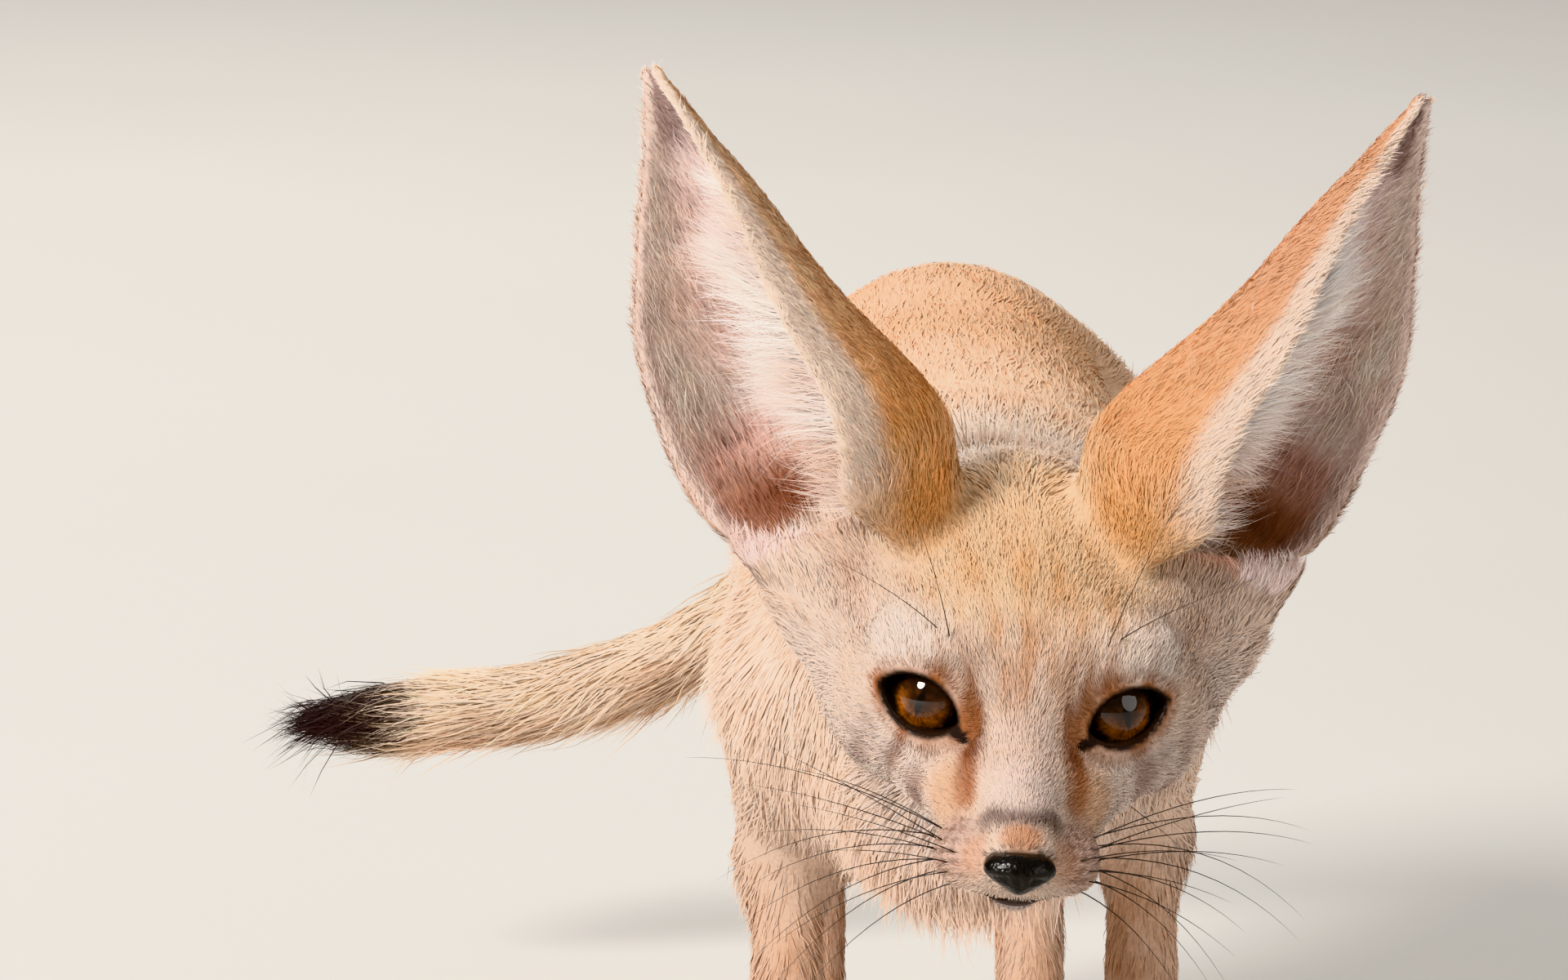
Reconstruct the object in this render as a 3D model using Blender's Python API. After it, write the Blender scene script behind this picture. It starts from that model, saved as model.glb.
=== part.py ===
"""A fennec fox at life size, standing on four feet with its head lowered.

The whole animal is one smooth field made of balls and cones, meshed node by node
and parted with flat cuts. The fox faces -Y, its left side is +X, and Z is up.
Units are metres. The origin is the middle of the bounding box, at floor level.
"""

import math
import random

import bmesh
import bpy
import numpy as np
from mathutils import Euler, Matrix, Vector

GAP = 0.0003
MOST_FILLS = 12

# Head: placed by the point midway between the eyes, then turned.
HEAD_AT = (0.007, -0.150, 0.157)
HEAD_PITCH = math.radians(13)
HEAD_ROLL = math.radians(3.7)
HEAD_YAW = math.radians(-0.4)

EYE_RADIUS = 0.0083
EYE_AT = (0.0147, 0.0060, -0.0016)
EYE_FACING = (0.36, -0.90, 0.22)
EYE_SLANT = math.radians(11)
EYE_OPENING = (0.0164, 0.0098)
LID_THICK = 0.0015

# Forms of the head in its own frame. Balls: centre, radii. Cones: two centres, two radii.
SKULL = ((0, 0.036, 0.001), (0.030, 0.034, 0.0245))
FOREHEAD = ((0, 0.013, 0.003), (0.021, 0.021, 0.0135))
CHEEK = ((0.018, 0.022, -0.008), (0.017, 0.022, 0.017))
RUFF = ((0.0255, 0.034, -0.006), (0.0125, 0.017, 0.015))
MUZZLE = ((0, 0.004, -0.0095), (0, -0.026, -0.0150), 0.0140, 0.0078)
BRIDGE = ((0, 0.002, -0.003), (0, -0.031, -0.0115), 0.0078, 0.0050)
WHISKER_PAD = ((0.0070, -0.0225, -0.0168), (0.0078, 0.0095, 0.0062))
CHIN = ((0, 0.012, -0.020), (0, -0.0235, -0.0225), 0.0110, 0.0048)
UNDER_EYE = ((0.018, 0.011, -0.009), (0.0085, -0.009, -0.0125), 0.0085, 0.0078)
EYE_CORNER = ((0.0215, 0.0125, -0.0015), (0.0072, 0.0085, 0.0085))
BROW = ((0.0155, 0.0060, 0.0085), (0.0092, 0.0070, 0.0040))
EAR_MOUND = ((0.021, 0.036, 0.008), (0.0295, 0.040, 0.021), 0.0185, 0.0150)
CONCHA = ((0.030, 0.032, -0.001), (0.037, 0.036, 0.012), 0.0095, 0.0090)
# The outer base of the ear: a cone from the cheek to a place given from the ear's root.
EAR_HEEL = ((0.0345, 0.034, -0.002), (0.0197, 0.001, 0.0005), 0.0085, 0.0064)

NOSE_AT = (0.0, -0.0362, -0.0125)
NOSE_SIZE = (0.0122, 0.0066, 0.0080)
NOSE_PLANE_Y = -0.0335

MOUTH_FRONT = (0.0, -0.030, -0.0212)
MOUTH_RISE = 0.10
LIP_RAISED = 0.0007
LIP_WIDTH = 0.0016
LIP_FADE = 0.001
JAW_BACK_Y = -0.001

EAR_AT = {"left": (0.0250, 0.036, 0.012), "right": (0.0293, 0.036, 0.012)}
EAR_AXIS = {"left": (0.40, 0.17, 0.90), "right": (0.455, 0.20, 0.87)}
EAR_LENGTH = {"left": 0.0925, "right": 0.0905}
EAR_ROOT_SUNK = 0.012
EAR_OPENS = {"left": math.radians(59), "right": math.radians(53)}
EAR_FORWARD = 0.50
EAR_FLARE = 0.60
EAR_LINING = 0.0010
EAR_THICK = 0.0028
EAR_VIEW_TILT = math.radians(25)
EAR_HOLLOW = (0.20, 0.30, 0.45, 0.60)
EAR_FLOOR_TILT = math.radians(35)
EAR_CUT = 0.0125
EAR_ROWS, EAR_COLUMNS = 18, 12
# Along the ear: share of its length, radius of the cup, and how many degrees it wraps to each side.
EAR_SHAPE = ((-0.14, 0.0130, 80), (0.0, 0.0190, 105), (0.12, 0.0234, 120), (0.24, 0.0256, 108),
             (0.34, 0.0252, 99), (0.47, 0.0228, 93), (0.58, 0.0198, 89), (0.73, 0.0145, 82),
             (0.85, 0.0090, 76), (0.94, 0.0055, 68), (1.0, 0.0026, 60))

# Spine of the torso: (y, z, half height), from the breast to the rump.
TORSO = ((-0.056, 0.132, 0.036), (-0.028, 0.139, 0.0500), (0.020, 0.142, 0.0490),
         (0.070, 0.149, 0.0415), (0.110, 0.149, 0.0415), (0.134, 0.146, 0.0365))
TORSO_WIDTH = 0.94
BREAST_LOW = ((0.0, -0.062, 0.120, 0.026), (0.0, -0.030, 0.116, 0.029))

NECK = ((0.001, -0.048, 0.152, 0.040), (0.006, -0.092, 0.161, 0.031))

# Tail: a smooth line through these points, with the coat's radius at each.
TAIL = ((0.000, 0.132, 0.158, 0.0110), (-0.003, 0.160, 0.152, 0.0106),
        (-0.015, 0.186, 0.128, 0.0106), (-0.035, 0.202, 0.1005, 0.0108),
        (-0.056, 0.207, 0.0835, 0.0110), (-0.079, 0.207, 0.0745, 0.0112),
        (-0.100, 0.205, 0.0708, 0.0108), (-0.117, 0.203, 0.0690, 0.0086),
        (-0.128, 0.202, 0.0682, 0.0045))
TAIL_CUTS = (0.19, 0.45, 0.72)
# The block that clears the tail's path behind the rump: its width and depth.
TAIL_CLEARING = (0.034, 0.060)

# Joints of each leg from the body down: shoulder or hip, elbow or knee, wrist or hock, toes.
LEGS = {
    "front_right": ((-0.030, -0.048, 0.136), (-0.0335, -0.026, 0.098),
                    (-0.033, -0.050, 0.034), (-0.033, -0.060, 0.009)),
    "front_left": ((0.030, -0.042, 0.136), (0.0350, -0.010, 0.098),
                   (0.035, -0.016, 0.034), (0.035, -0.025, 0.009)),
    "hind_right": ((-0.020, 0.118, 0.146), (-0.028, 0.098, 0.100),
                   (-0.028, 0.152, 0.060), (-0.028, 0.140, 0.009)),
    "hind_left": ((0.020, 0.112, 0.146), (0.0255, 0.074, 0.101),
                  (0.018, 0.122, 0.058), (0.018, 0.102, 0.009)),
}
LEG_RADII = {"front": (0.0195, 0.0122, 0.0082, 0.0077), "hind": (0.0275, 0.0190, 0.0084, 0.0077)}
LOCK_SEED = 11
LOCK_RINGS = 3
# Tail locks: rings along the tail, locks round each, length, width, thickness and lift.
TAIL_LOCK_RINGS = 10
TAIL_LOCKS_ROUND = 5
TAIL_LOCK_SHARES = (0.10, 0.94)
TAIL_LOCK = (0.031, 0.0150, 0.0028)
TAIL_LOCK_LIFT = math.radians(12)
TAIL_LOCK_SUNK = 0.0016
TAIL_CORE_SHARE = 0.80
# Cheek locks, in the head's frame: rows of roots from the jaw's corner up towards the ear.
CHEEK_LOCKS = 11
CHEEK_ROWS = 3
CHEEK_ROW_STEP = 0.0085
CHEEK_FRONT_Y = 0.012
CHEEK_INSIDE_X = 0.012
CHEEK_HEIGHTS = (-0.020, -0.003)
CHEEK_LIFT = (0.06, 0.18)
CHEEK_SUNK = 0.0011
CHEEK_LOCK = (0.0185, 0.0092, 0.0018)
# Hair across the ear's cup, rooted along its front rim.
EAR_LOCKS = 12
EAR_LOCK = (0.0185, 0.0052, 0.0010)
EAR_LOCK_SHARES = (0.18, 0.84)
EAR_LOCK_SUNK = 0.0006
# Where the legs are parted, and how far a leg reaches ahead of and behind its hip.
KNEE_DROP = 0.012
PAW_CUT_SHARE = 0.55
LEG_REACH = 0.075
BODY_SIDE = 0.062
BODY_TOP = 0.212

PAW_LENGTH = 0.030
PAW_WIDTH = 0.0185
PAD_SUNK = 0.0014
TOE_RADIUS = 0.0044
CLAW_LENGTH = 0.0055

# Grid step of each node's surface, and about how many triangles it keeps.
MESHING = {"head": (0.0011, 2900), "nose": (0.0004, 460), "neck": (0.0030, 520), "chest": (0.0035, 620),
           "loins": (0.0035, 420), "rump": (0.0035, 560), "shoulder": (0.0030, 380), "thigh": (0.0030, 400),
           "forearm": (0.0022, 240), "shank": (0.0022, 240), "paw": (0.0012, 420), "tail": (0.0025, 380)}
EYE_SEGMENTS, EYE_RINGS = 16, 10

COLOURS = {
    "coat": (0.80, 0.58, 0.38), "pale_coat": (0.86, 0.76, 0.66), "ear_back": (0.66, 0.38, 0.17),
    "dark_tip": (0.10, 0.07, 0.06), "nose": (0.015, 0.012, 0.012), "eye": (0.05, 0.022, 0.008),
}


def blend(a, b, reach):
    """Smooth union of two distance fields, rounded over this reach."""
    h = np.clip(0.5 + 0.5 * (b - a) / reach, 0.0, 1.0)
    return b + (a - b) * h - reach * h * (1.0 - h)


def carve(a, b, reach):
    """Field a with b smoothly taken away."""
    return -blend(-a, b, reach)


def ball(p, centre, radii):
    """An ellipsoid with its axes along X, Y and Z."""
    q = (p - np.array(centre)) / np.array(radii)
    length = np.linalg.norm(q, axis=1)
    slope = np.linalg.norm(q / np.array(radii), axis=1)
    return length * (length - 1.0) / np.maximum(slope, 1e-9)


def cone(p, a, b, radius_a, radius_b):
    """A round cone: two balls and all between them."""
    a = np.array(a)
    along = np.array(b) - a
    t = np.clip((p - a) @ along / (along @ along), 0.0, 1.0)
    return np.linalg.norm(p - a - t[:, None] * along, axis=1) - (radius_a + t * (radius_b - radius_a))


def both_sides(form, p, place, *rest):
    """The same form on the left and on the right, with no blend between them."""
    mirrored = p * np.array((-1.0, 1.0, 1.0))
    return np.minimum(form(p, place, *rest), form(mirrored, place, *rest))


def smooth_line(points, steps):
    """Points along a Catmull-Rom curve through the given ones, each with its radius."""
    given = np.array(points)
    ends = np.vstack((2 * given[0] - given[1], given, 2 * given[-1] - given[-2]))
    line = []
    for i in range(len(given) - 1):
        p0, p1, p2, p3 = ends[i:i + 4]
        for t in np.arange(steps) / steps:
            line.append(0.5 * (2 * p1 + (p2 - p0) * t + (2 * p0 - 5 * p1 + 4 * p2 - p3) * t ** 2
                               + (3 * p1 - p0 - 3 * p2 + p3) * t ** 3))
    return np.array(line + [given[-1]])


HEAD_TURN = Euler((HEAD_PITCH, HEAD_ROLL, HEAD_YAW), "XYZ").to_matrix().to_4x4()
HEAD_TO_FOX = Matrix.Translation(HEAD_AT) @ HEAD_TURN
TORSO_LINE = smooth_line(TORSO, 6)
TAIL_LINE = smooth_line(TAIL, 5)
EAR_CURVE = smooth_line(EAR_SHAPE, 6)


def in_head(p):
    """Points of the fox's frame as seen from the head's own frame."""
    turn = np.array(HEAD_TURN)[:3, :3]
    return (p - np.array(HEAD_AT)) @ turn


def eye_axes(sign):
    """The eye's facing direction, its long axis along the lids, and the one across them."""
    facing = Vector((sign * EYE_FACING[0], EYE_FACING[1], EYE_FACING[2])).normalized()
    level = Vector((0, 0, 1)).cross(facing).normalized() * -sign
    across = facing.cross(level) * sign
    slanted = level * math.cos(EYE_SLANT) + across * math.sin(EYE_SLANT)
    return facing, slanted, facing.cross(slanted)


def eye_opening(q, sign):
    """The almond between the lids, as an endless prism along the eye's facing direction."""
    facing, long_axis, short_axis = (np.array(v) for v in eye_axes(sign))
    from_eye = q - np.array((sign * EYE_AT[0], EYE_AT[1], EYE_AT[2]))
    u, v = from_eye @ long_axis, from_eye @ short_axis
    half_w, half_h = EYE_OPENING[0] / 2, EYE_OPENING[1] / 2
    radius = (half_w ** 2 + half_h ** 2) / (2 * half_h)
    shift = radius - half_h
    almond = np.maximum(np.hypot(u, v + shift), np.hypot(u, v - shift)) - radius
    return np.maximum(almond, -(from_eye @ facing))


def face(q):
    """The flesh of the head with its coat, in the head's frame."""
    skull = blend(ball(q, *SKULL), ball(q, *FOREHEAD), 0.012)
    cheeks = blend(both_sides(ball, q, *CHEEK), both_sides(ball, q, *RUFF), 0.008)
    skull = blend(skull, cheeks, 0.010)
    muzzle = blend(cone(q, *MUZZLE), cone(q, *BRIDGE), 0.006)
    muzzle = blend(muzzle, both_sides(ball, q, *WHISKER_PAD), 0.004)
    muzzle = blend(muzzle, cone(q, *CHIN), 0.004)
    head = blend(skull, muzzle, 0.009)
    head = blend(head, both_sides(cone, q, *UNDER_EYE), 0.007)
    head = blend(head, both_sides(ball, q, *EYE_CORNER), 0.006)
    head = blend(head, both_sides(ball, q, *BROW), 0.008)
    head = blend(head, both_sides(cone, q, *EAR_MOUND), 0.008)
    head = blend(head, both_sides(cone, q, *CONCHA), 0.007)
    for side, sign in (("left", 1), ("right", -1)):
        (x, y, z), rise, radius_low, radius_high = EAR_HEEL
        end = [a + b for a, b in zip(EAR_AT[side], rise)]
        heel = cone(q, (sign * x, y, z), (sign * end[0], end[1], end[2]), radius_low, radius_high)
        head = blend(head, heel, 0.006)
    off_mouth = (q - np.array(MOUTH_FRONT)) @ np.array(mouth_normal())
    ahead = 1 / (1 + np.exp((q[:, 1] - JAW_BACK_Y + LIP_FADE * 3) / LIP_FADE))
    return head - LIP_RAISED * np.exp(-(off_mouth / LIP_WIDTH) ** 2) * ahead


def ear_frame(side):
    """The ear's root, axis, the way its cup opens, and the way across it, in the head's frame."""
    sign = 1 if side == "left" else -1
    lean = EAR_AXIS[side]
    axis = Vector((sign * lean[0], lean[1], lean[2])).normalized()
    at = EAR_AT[side]
    root = Vector((sign * at[0], at[1], at[2]))
    ahead = Vector((0, -math.cos(EAR_VIEW_TILT), math.sin(EAR_VIEW_TILT)))
    ahead = (ahead - axis * ahead.dot(axis)).normalized()
    outward = Vector((sign, 0, 0))
    outward = (outward - axis * outward.dot(axis) - ahead * outward.dot(ahead)).normalized()
    turn = EAR_OPENS[side]
    opens = ahead * math.cos(turn) + outward * math.sin(turn)
    return root, axis, opens, outward * math.cos(turn) - ahead * math.sin(turn)


def ear_ring(side, share):
    """Centre, radius and wrap of the cup at a share of the ear's length."""
    root, axis, opens, _ = ear_frame(side)
    radius = float(np.interp(share, EAR_CURVE[:, 0], EAR_CURVE[:, 1]))
    wrap = math.radians(np.interp(share, EAR_CURVE[:, 0], EAR_CURVE[:, 2]))
    rise = min(1.0, max(0.0, share) / EAR_FLARE)
    forward = radius * EAR_FORWARD * rise * rise * (3 - 2 * rise)
    return root + axis * EAR_LENGTH[side] * share + opens * forward, radius, wrap


def ear_hollow(q, side):
    """The space in the lower part of the cup above its sloping floor, to be taken out of the head."""
    hollow, wall = np.full(len(q), 1.0), EAR_THICK + EAR_LINING
    for low, high in zip(EAR_HOLLOW, EAR_HOLLOW[1:]):
        (a, radius_a, _), (b, radius_b, _) = (ear_ring(side, s) for s in (low, high))
        hollow = np.minimum(hollow, cone(q, a, b, radius_a - wall, radius_b - wall))
    root, axis, opens, _ = ear_frame(side)
    floor = axis * math.cos(EAR_FLOOR_TILT) - opens * math.sin(EAR_FLOOR_TILT)
    return np.maximum(hollow, -((q - np.array(root)) @ np.array(floor)))


def lidded_face(q):
    """The head with its ear hollows, lids over each eyeball and the almond opening between them."""
    head = face(q)
    for side in ("left", "right"):
        head = carve(head, ear_hollow(q, side), 0.003)
    for sign in (-1, 1):
        centre = np.array((sign * EYE_AT[0], EYE_AT[1], EYE_AT[2]))
        lid = np.linalg.norm(q - centre, axis=1) - (EYE_RADIUS + LID_THICK)
        head = np.maximum(blend(head, lid, 0.003), -eye_opening(q, sign))
    return head


def torso_field(p):
    """Breast, ribs, loins and rump along the spine."""
    narrowed = p / np.array((TORSO_WIDTH, 1.0, 1.0))
    body = np.full(len(p), 1.0)
    for (ya, za, ra), (yb, zb, rb) in zip(TORSO_LINE, TORSO_LINE[1:]):
        body = np.minimum(body, cone(narrowed, (0, ya, za), (0, yb, zb), ra, rb))
    (xa, ya, za, ra), (xb, yb, zb, rb) = BREAST_LOW
    return blend(body, cone(p, (xa, ya, za), (xb, yb, zb), ra, rb), 0.010)


def leg_field(p, name):
    """One leg from shoulder or hip to the paw's root."""
    joints, radii = LEGS[name], LEG_RADII[name.split("_")[0]]
    leg = cone(p, joints[0], joints[1], radii[0], radii[1])
    leg = blend(leg, cone(p, joints[1], joints[2], radii[1] * 0.86, radii[2]), 0.010)
    return blend(leg, cone(p, joints[2], joints[3], radii[2], radii[3]), 0.005)


def paw_field(p, name):
    """The foot with its four toes. Its sole is cut flat by the floor."""
    x, y, z = LEGS[name][3]
    heel = (x, y + PAW_LENGTH * 0.08, z - PAD_SUNK - 0.0010)
    paw = cone(p, heel, (x, y - PAW_LENGTH * 0.28, z - PAD_SUNK - 0.0026), 0.0080, 0.0068)
    for i in range(4):
        across = (i - 1.5) / 1.5
        toe_x = x + across * PAW_WIDTH * 0.38
        toe_y = y - PAW_LENGTH * (0.56 - 0.13 * across ** 2)
        toe = cone(p, (toe_x * 0.7 + x * 0.3, toe_y + 0.010, z - 0.0022),
                   (toe_x, toe_y, TOE_RADIUS - PAD_SUNK * 0.7), TOE_RADIUS, TOE_RADIUS)
        paw = blend(paw, toe, 0.0022)
    return paw


def claw_field(p, name):
    """The four claws at the ends of the toes."""
    x, y, _ = LEGS[name][3]
    claws = np.full(len(p), 1.0)
    for i in range(4):
        across = (i - 1.5) / 1.5
        toe_x = x + across * PAW_WIDTH * 0.40
        toe_y = y - PAW_LENGTH * (0.66 - 0.13 * across ** 2)
        tip = (toe_x, toe_y - CLAW_LENGTH, 0.0022)
        claws = np.minimum(claws, cone(p, (toe_x, toe_y, 0.0050), tip, 0.0014, 0.0006))
    return claws


def tail_field(p):
    """The tail's coat along its smooth line."""
    tail = np.full(len(p), 1.0)
    for a, b in zip(TAIL_LINE, TAIL_LINE[1:]):
        tail = np.minimum(tail, cone(p, a[:3], b[:3], a[3], b[3]))
    return tail


def tail_core(p):
    """What the tail's locks are rooted in: the torso's end and a slimmer tail."""
    core = np.full(len(p), 1.0)
    for a, b in zip(TAIL_LINE, TAIL_LINE[1:]):
        core = np.minimum(core, cone(p, a[:3], b[:3], a[3] * TAIL_CORE_SHARE, b[3] * TAIL_CORE_SHARE))
    return core


def fox_field(p, parts):
    """The named parts of the animal, blended into one surface."""
    body = np.full(len(p), 1.0)
    if "torso" in parts:
        body = blend(body, torso_field(p), 0.010)
    if "neck" in parts:
        (xa, ya, za, ra), (xb, yb, zb, rb) = NECK
        body = blend(body, cone(p, (xa, ya, za), (xb, yb, zb), ra, rb), 0.016)
    for name in LEGS:
        if name in parts:
            body = blend(body, leg_field(p, name), 0.011)
        if name + "_paw" in parts:
            body = np.minimum(blend(body, paw_field(p, name), 0.003), claw_field(p, name))
    if "tail" in parts:
        body = blend(body, tail_field(p), 0.010)
    if "head" in parts:
        q = in_head(p)
        body = blend(body, lidded_face(q), 0.012)
    return body


def lock_mesh(root, along, outward, size, bend, turn):
    """A flat tapered lock: rings of four points along a bending line, and a pointed tip."""
    length, width, thick = size
    side = along.cross(outward).normalized()
    points, faces = [], []
    for i in range(LOCK_RINGS):
        share = i / LOCK_RINGS
        centre = (root + along * length * share + outward * bend * length * share ** 2
                  + side * turn * length * share ** 2)
        fullness = math.sin(math.pi * (0.22 + 0.66 * share)) * (1 - 0.35 * share)
        for a, b in ((1, 0), (0, 1), (-1, 0), (0, -1)):
            points.append(centre + side * a * width * 0.5 * fullness
                          + outward * b * thick * 0.5 * max(fullness, 0.45))
    points.append(root + along * length + outward * bend * length + side * turn * length)
    for i in range(LOCK_RINGS - 1):
        for k in range(4):
            a, b = i * 4 + k, i * 4 + (k + 1) % 4
            faces += [(a, b, b + 4), (a, b + 4, a + 4)]
    last = (LOCK_RINGS - 1) * 4
    faces += [(last + k, last + (k + 1) % 4, len(points) - 1) for k in range(4)]
    faces += [(0, 2, 1), (0, 3, 2)]
    mesh = bpy.data.meshes.new("lock")
    mesh.from_pydata([p[:] for p in points], [], faces)
    bm = bmesh.new()
    bm.from_mesh(mesh)
    bmesh.ops.recalc_face_normals(bm, faces=bm.faces[:])
    bm.to_mesh(mesh)
    bm.free()
    return mesh


def tail_locks(rng):
    """Locks laid along the tail towards its tip, those below longer and hanging."""
    locks = []
    line = [Vector(p[:3]) for p in TAIL_LINE]
    last = len(line) - 2
    first, end = TAIL_LOCK_SHARES
    for i in range(TAIL_LOCK_RINGS):
        share = first + (end - first) * i / (TAIL_LOCK_RINGS - 1)
        near_tip = max(0.0, share - TAIL_CUTS[2]) / (end - TAIL_CUTS[2])
        at = share * last
        k = int(at)
        centre = line[k].lerp(line[k + 1], at - k)
        along = (line[k + 1] - line[k]).normalized()
        radius = float(np.interp(at, range(len(line)), TAIL_LINE[:, 3])) * TAIL_CORE_SHARE
        side = along.cross(Vector((0, 0, 1))).normalized()
        up = side.cross(along).normalized()
        for j in range(TAIL_LOCKS_ROUND):
            angle = 2 * math.pi * (j + 0.5 * (i % 2) + 0.25 * rng.random()) / TAIL_LOCKS_ROUND
            out = side * math.cos(angle) + up * math.sin(angle)
            below = max(0.0, -out.z)
            lift = TAIL_LOCK_LIFT * rng.uniform(0.8, 1.25) * (1 - 1.1 * near_tip)
            lift += 0.06 * below * (1 - near_tip)
            way = along * math.cos(lift) + out * math.sin(lift)
            root = centre + out * (radius - TAIL_LOCK_SUNK)
            size = (TAIL_LOCK[0] * rng.uniform(0.85, 1.1) * (1 + 0.15 * below) * (1 - 0.30 * near_tip),
                    TAIL_LOCK[1] * rng.uniform(0.85, 1.15) * (1 - 0.30 * near_tip), TAIL_LOCK[2])
            face_out = (out - way * out.dot(way)).normalized()
            locks.append(lock_mesh(root, way, face_out, size, -0.10 + 0.04 * below,
                                   rng.uniform(-0.10, 0.10)))
    return locks


def cheek_locks(sign, rng):
    """Overlapping locks that sweep back and down over the cheek, in the fox's frame."""
    locks = []
    for i in range(CHEEK_LOCKS):
        row, rise = i % CHEEK_ROWS, i / (CHEEK_LOCKS - 1)
        low, high = CHEEK_HEIGHTS
        back = CHEEK_FRONT_Y + CHEEK_ROW_STEP * row + rng.uniform(-0.001, 0.001)
        height = low + (high - low) * rise + rng.uniform(-0.0008, 0.0008)
        start = Vector((sign * CHEEK_INSIDE_X, back, height))
        found = surface_point(start, Vector((sign, 0.0, 0.35 * (rise - 0.7))).normalized())
        out = face_normal(found)
        way = Vector((sign * 0.18, 0.85, -0.55 + 0.50 * rise))
        way = (way - out * way.dot(out) + out * rng.uniform(*CHEEK_LIFT)).normalized()
        out = (out - way * out.dot(way)).normalized()
        size = (CHEEK_LOCK[0] * rng.uniform(0.85, 1.15), CHEEK_LOCK[1] * rng.uniform(0.85, 1.15),
                CHEEK_LOCK[2])
        lock = lock_mesh(found - out * CHEEK_SUNK, way, out, size, -0.14, rng.uniform(-0.14, 0.14))
        lock.transform(HEAD_TO_FOX)
        locks.append(lock)
    return locks


def face_normal(point):
    """The outward direction of the face's field at a point of the head's frame."""
    reach = 0.0008
    around = np.array(point) + reach * np.vstack((np.eye(3), -np.eye(3)))
    values = face(around)
    return Vector(values[:3] - values[3:]).normalized()


def surface_point(start, way):
    """Where a ray from inside the face comes out of it, in the head's frame."""
    steps = np.linspace(0, 0.03, 121)
    points = np.array(start) + steps[:, None] * np.array(way)
    outside = face(points) > 0
    return start + way * float(steps[np.argmax(outside)] if outside.any() else steps[-1])


def ear_locks(side, rng):
    """Long hair across the cup, rooted on its inner face near the front rim, in the fox's frame."""
    _, axis, opens, across = ear_frame(side)
    locks = []
    for i in range(EAR_LOCKS):
        share = EAR_LOCK_SHARES[0] + (EAR_LOCK_SHARES[1] - EAR_LOCK_SHARES[0]) * i / (EAR_LOCKS - 1)
        centre, radius, wrap = ear_ring(side, share)
        angle = -wrap * rng.uniform(0.80, 0.92)
        inside = radius - min(EAR_THICK, radius * 0.7) + EAR_LOCK_SUNK
        ray = across * math.sin(angle) - opens * math.cos(angle)
        tangent = across * math.cos(angle) + opens * math.sin(angle)
        lean = rng.uniform(0.30, 0.55)
        way = (tangent * 0.42 - ray * 0.75 + axis * lean).normalized()
        out = (opens - way * opens.dot(way)).normalized()
        reach = min(1.0, radius / 0.021)
        size = (EAR_LOCK[0] * reach * rng.uniform(0.72, 1.08), EAR_LOCK[1] * rng.uniform(0.8, 1.2),
                EAR_LOCK[2])
        lock = lock_mesh(centre + ray * inside, way, out, size, -0.10, rng.uniform(-0.1, 0.1))
        lock.transform(HEAD_TO_FOX)
        locks.append(lock)
    return locks


def split_corner_sets():
    """For each of the 256 ways to fill a cell's corners: do its full or empty corners fall apart?"""
    links = [(i, i ^ bit) for i in range(8) for bit in (1, 2, 4)]
    table = np.zeros(256, bool)
    for case in range(256):
        for wanted in (0, 1):
            corners = {i for i in range(8) if (case >> i & 1) == wanted}
            reached = set(list(corners)[:1])
            for _ in range(8):
                reached |= {b for a, b in links if a in reached and b in corners}
            table[case] |= reached != corners
    return table


def without_pinches(values, step):
    """Fills the cells where two sheets of the surface would meet in one point or line."""
    table = split_corner_sets()
    for _ in range(MOST_FILLS):
        inside = values < 0
        cells = tuple(n - 1 for n in values.shape)
        case = np.zeros(cells, int)
        for i in range(8):
            x, y, z = i & 1, i >> 1 & 1, i >> 2 & 1
            case |= inside[x:x + cells[0], y:y + cells[1], z:z + cells[2]].astype(int) << i
        pinched = np.argwhere(table[case])
        if not len(pinched):
            break
        for i in range(8):
            spot = tuple((pinched + (i & 1, i >> 1 & 1, i >> 2 & 1)).T)
            values[spot] = np.minimum(values[spot], -0.1 * step)
    return values


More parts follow.
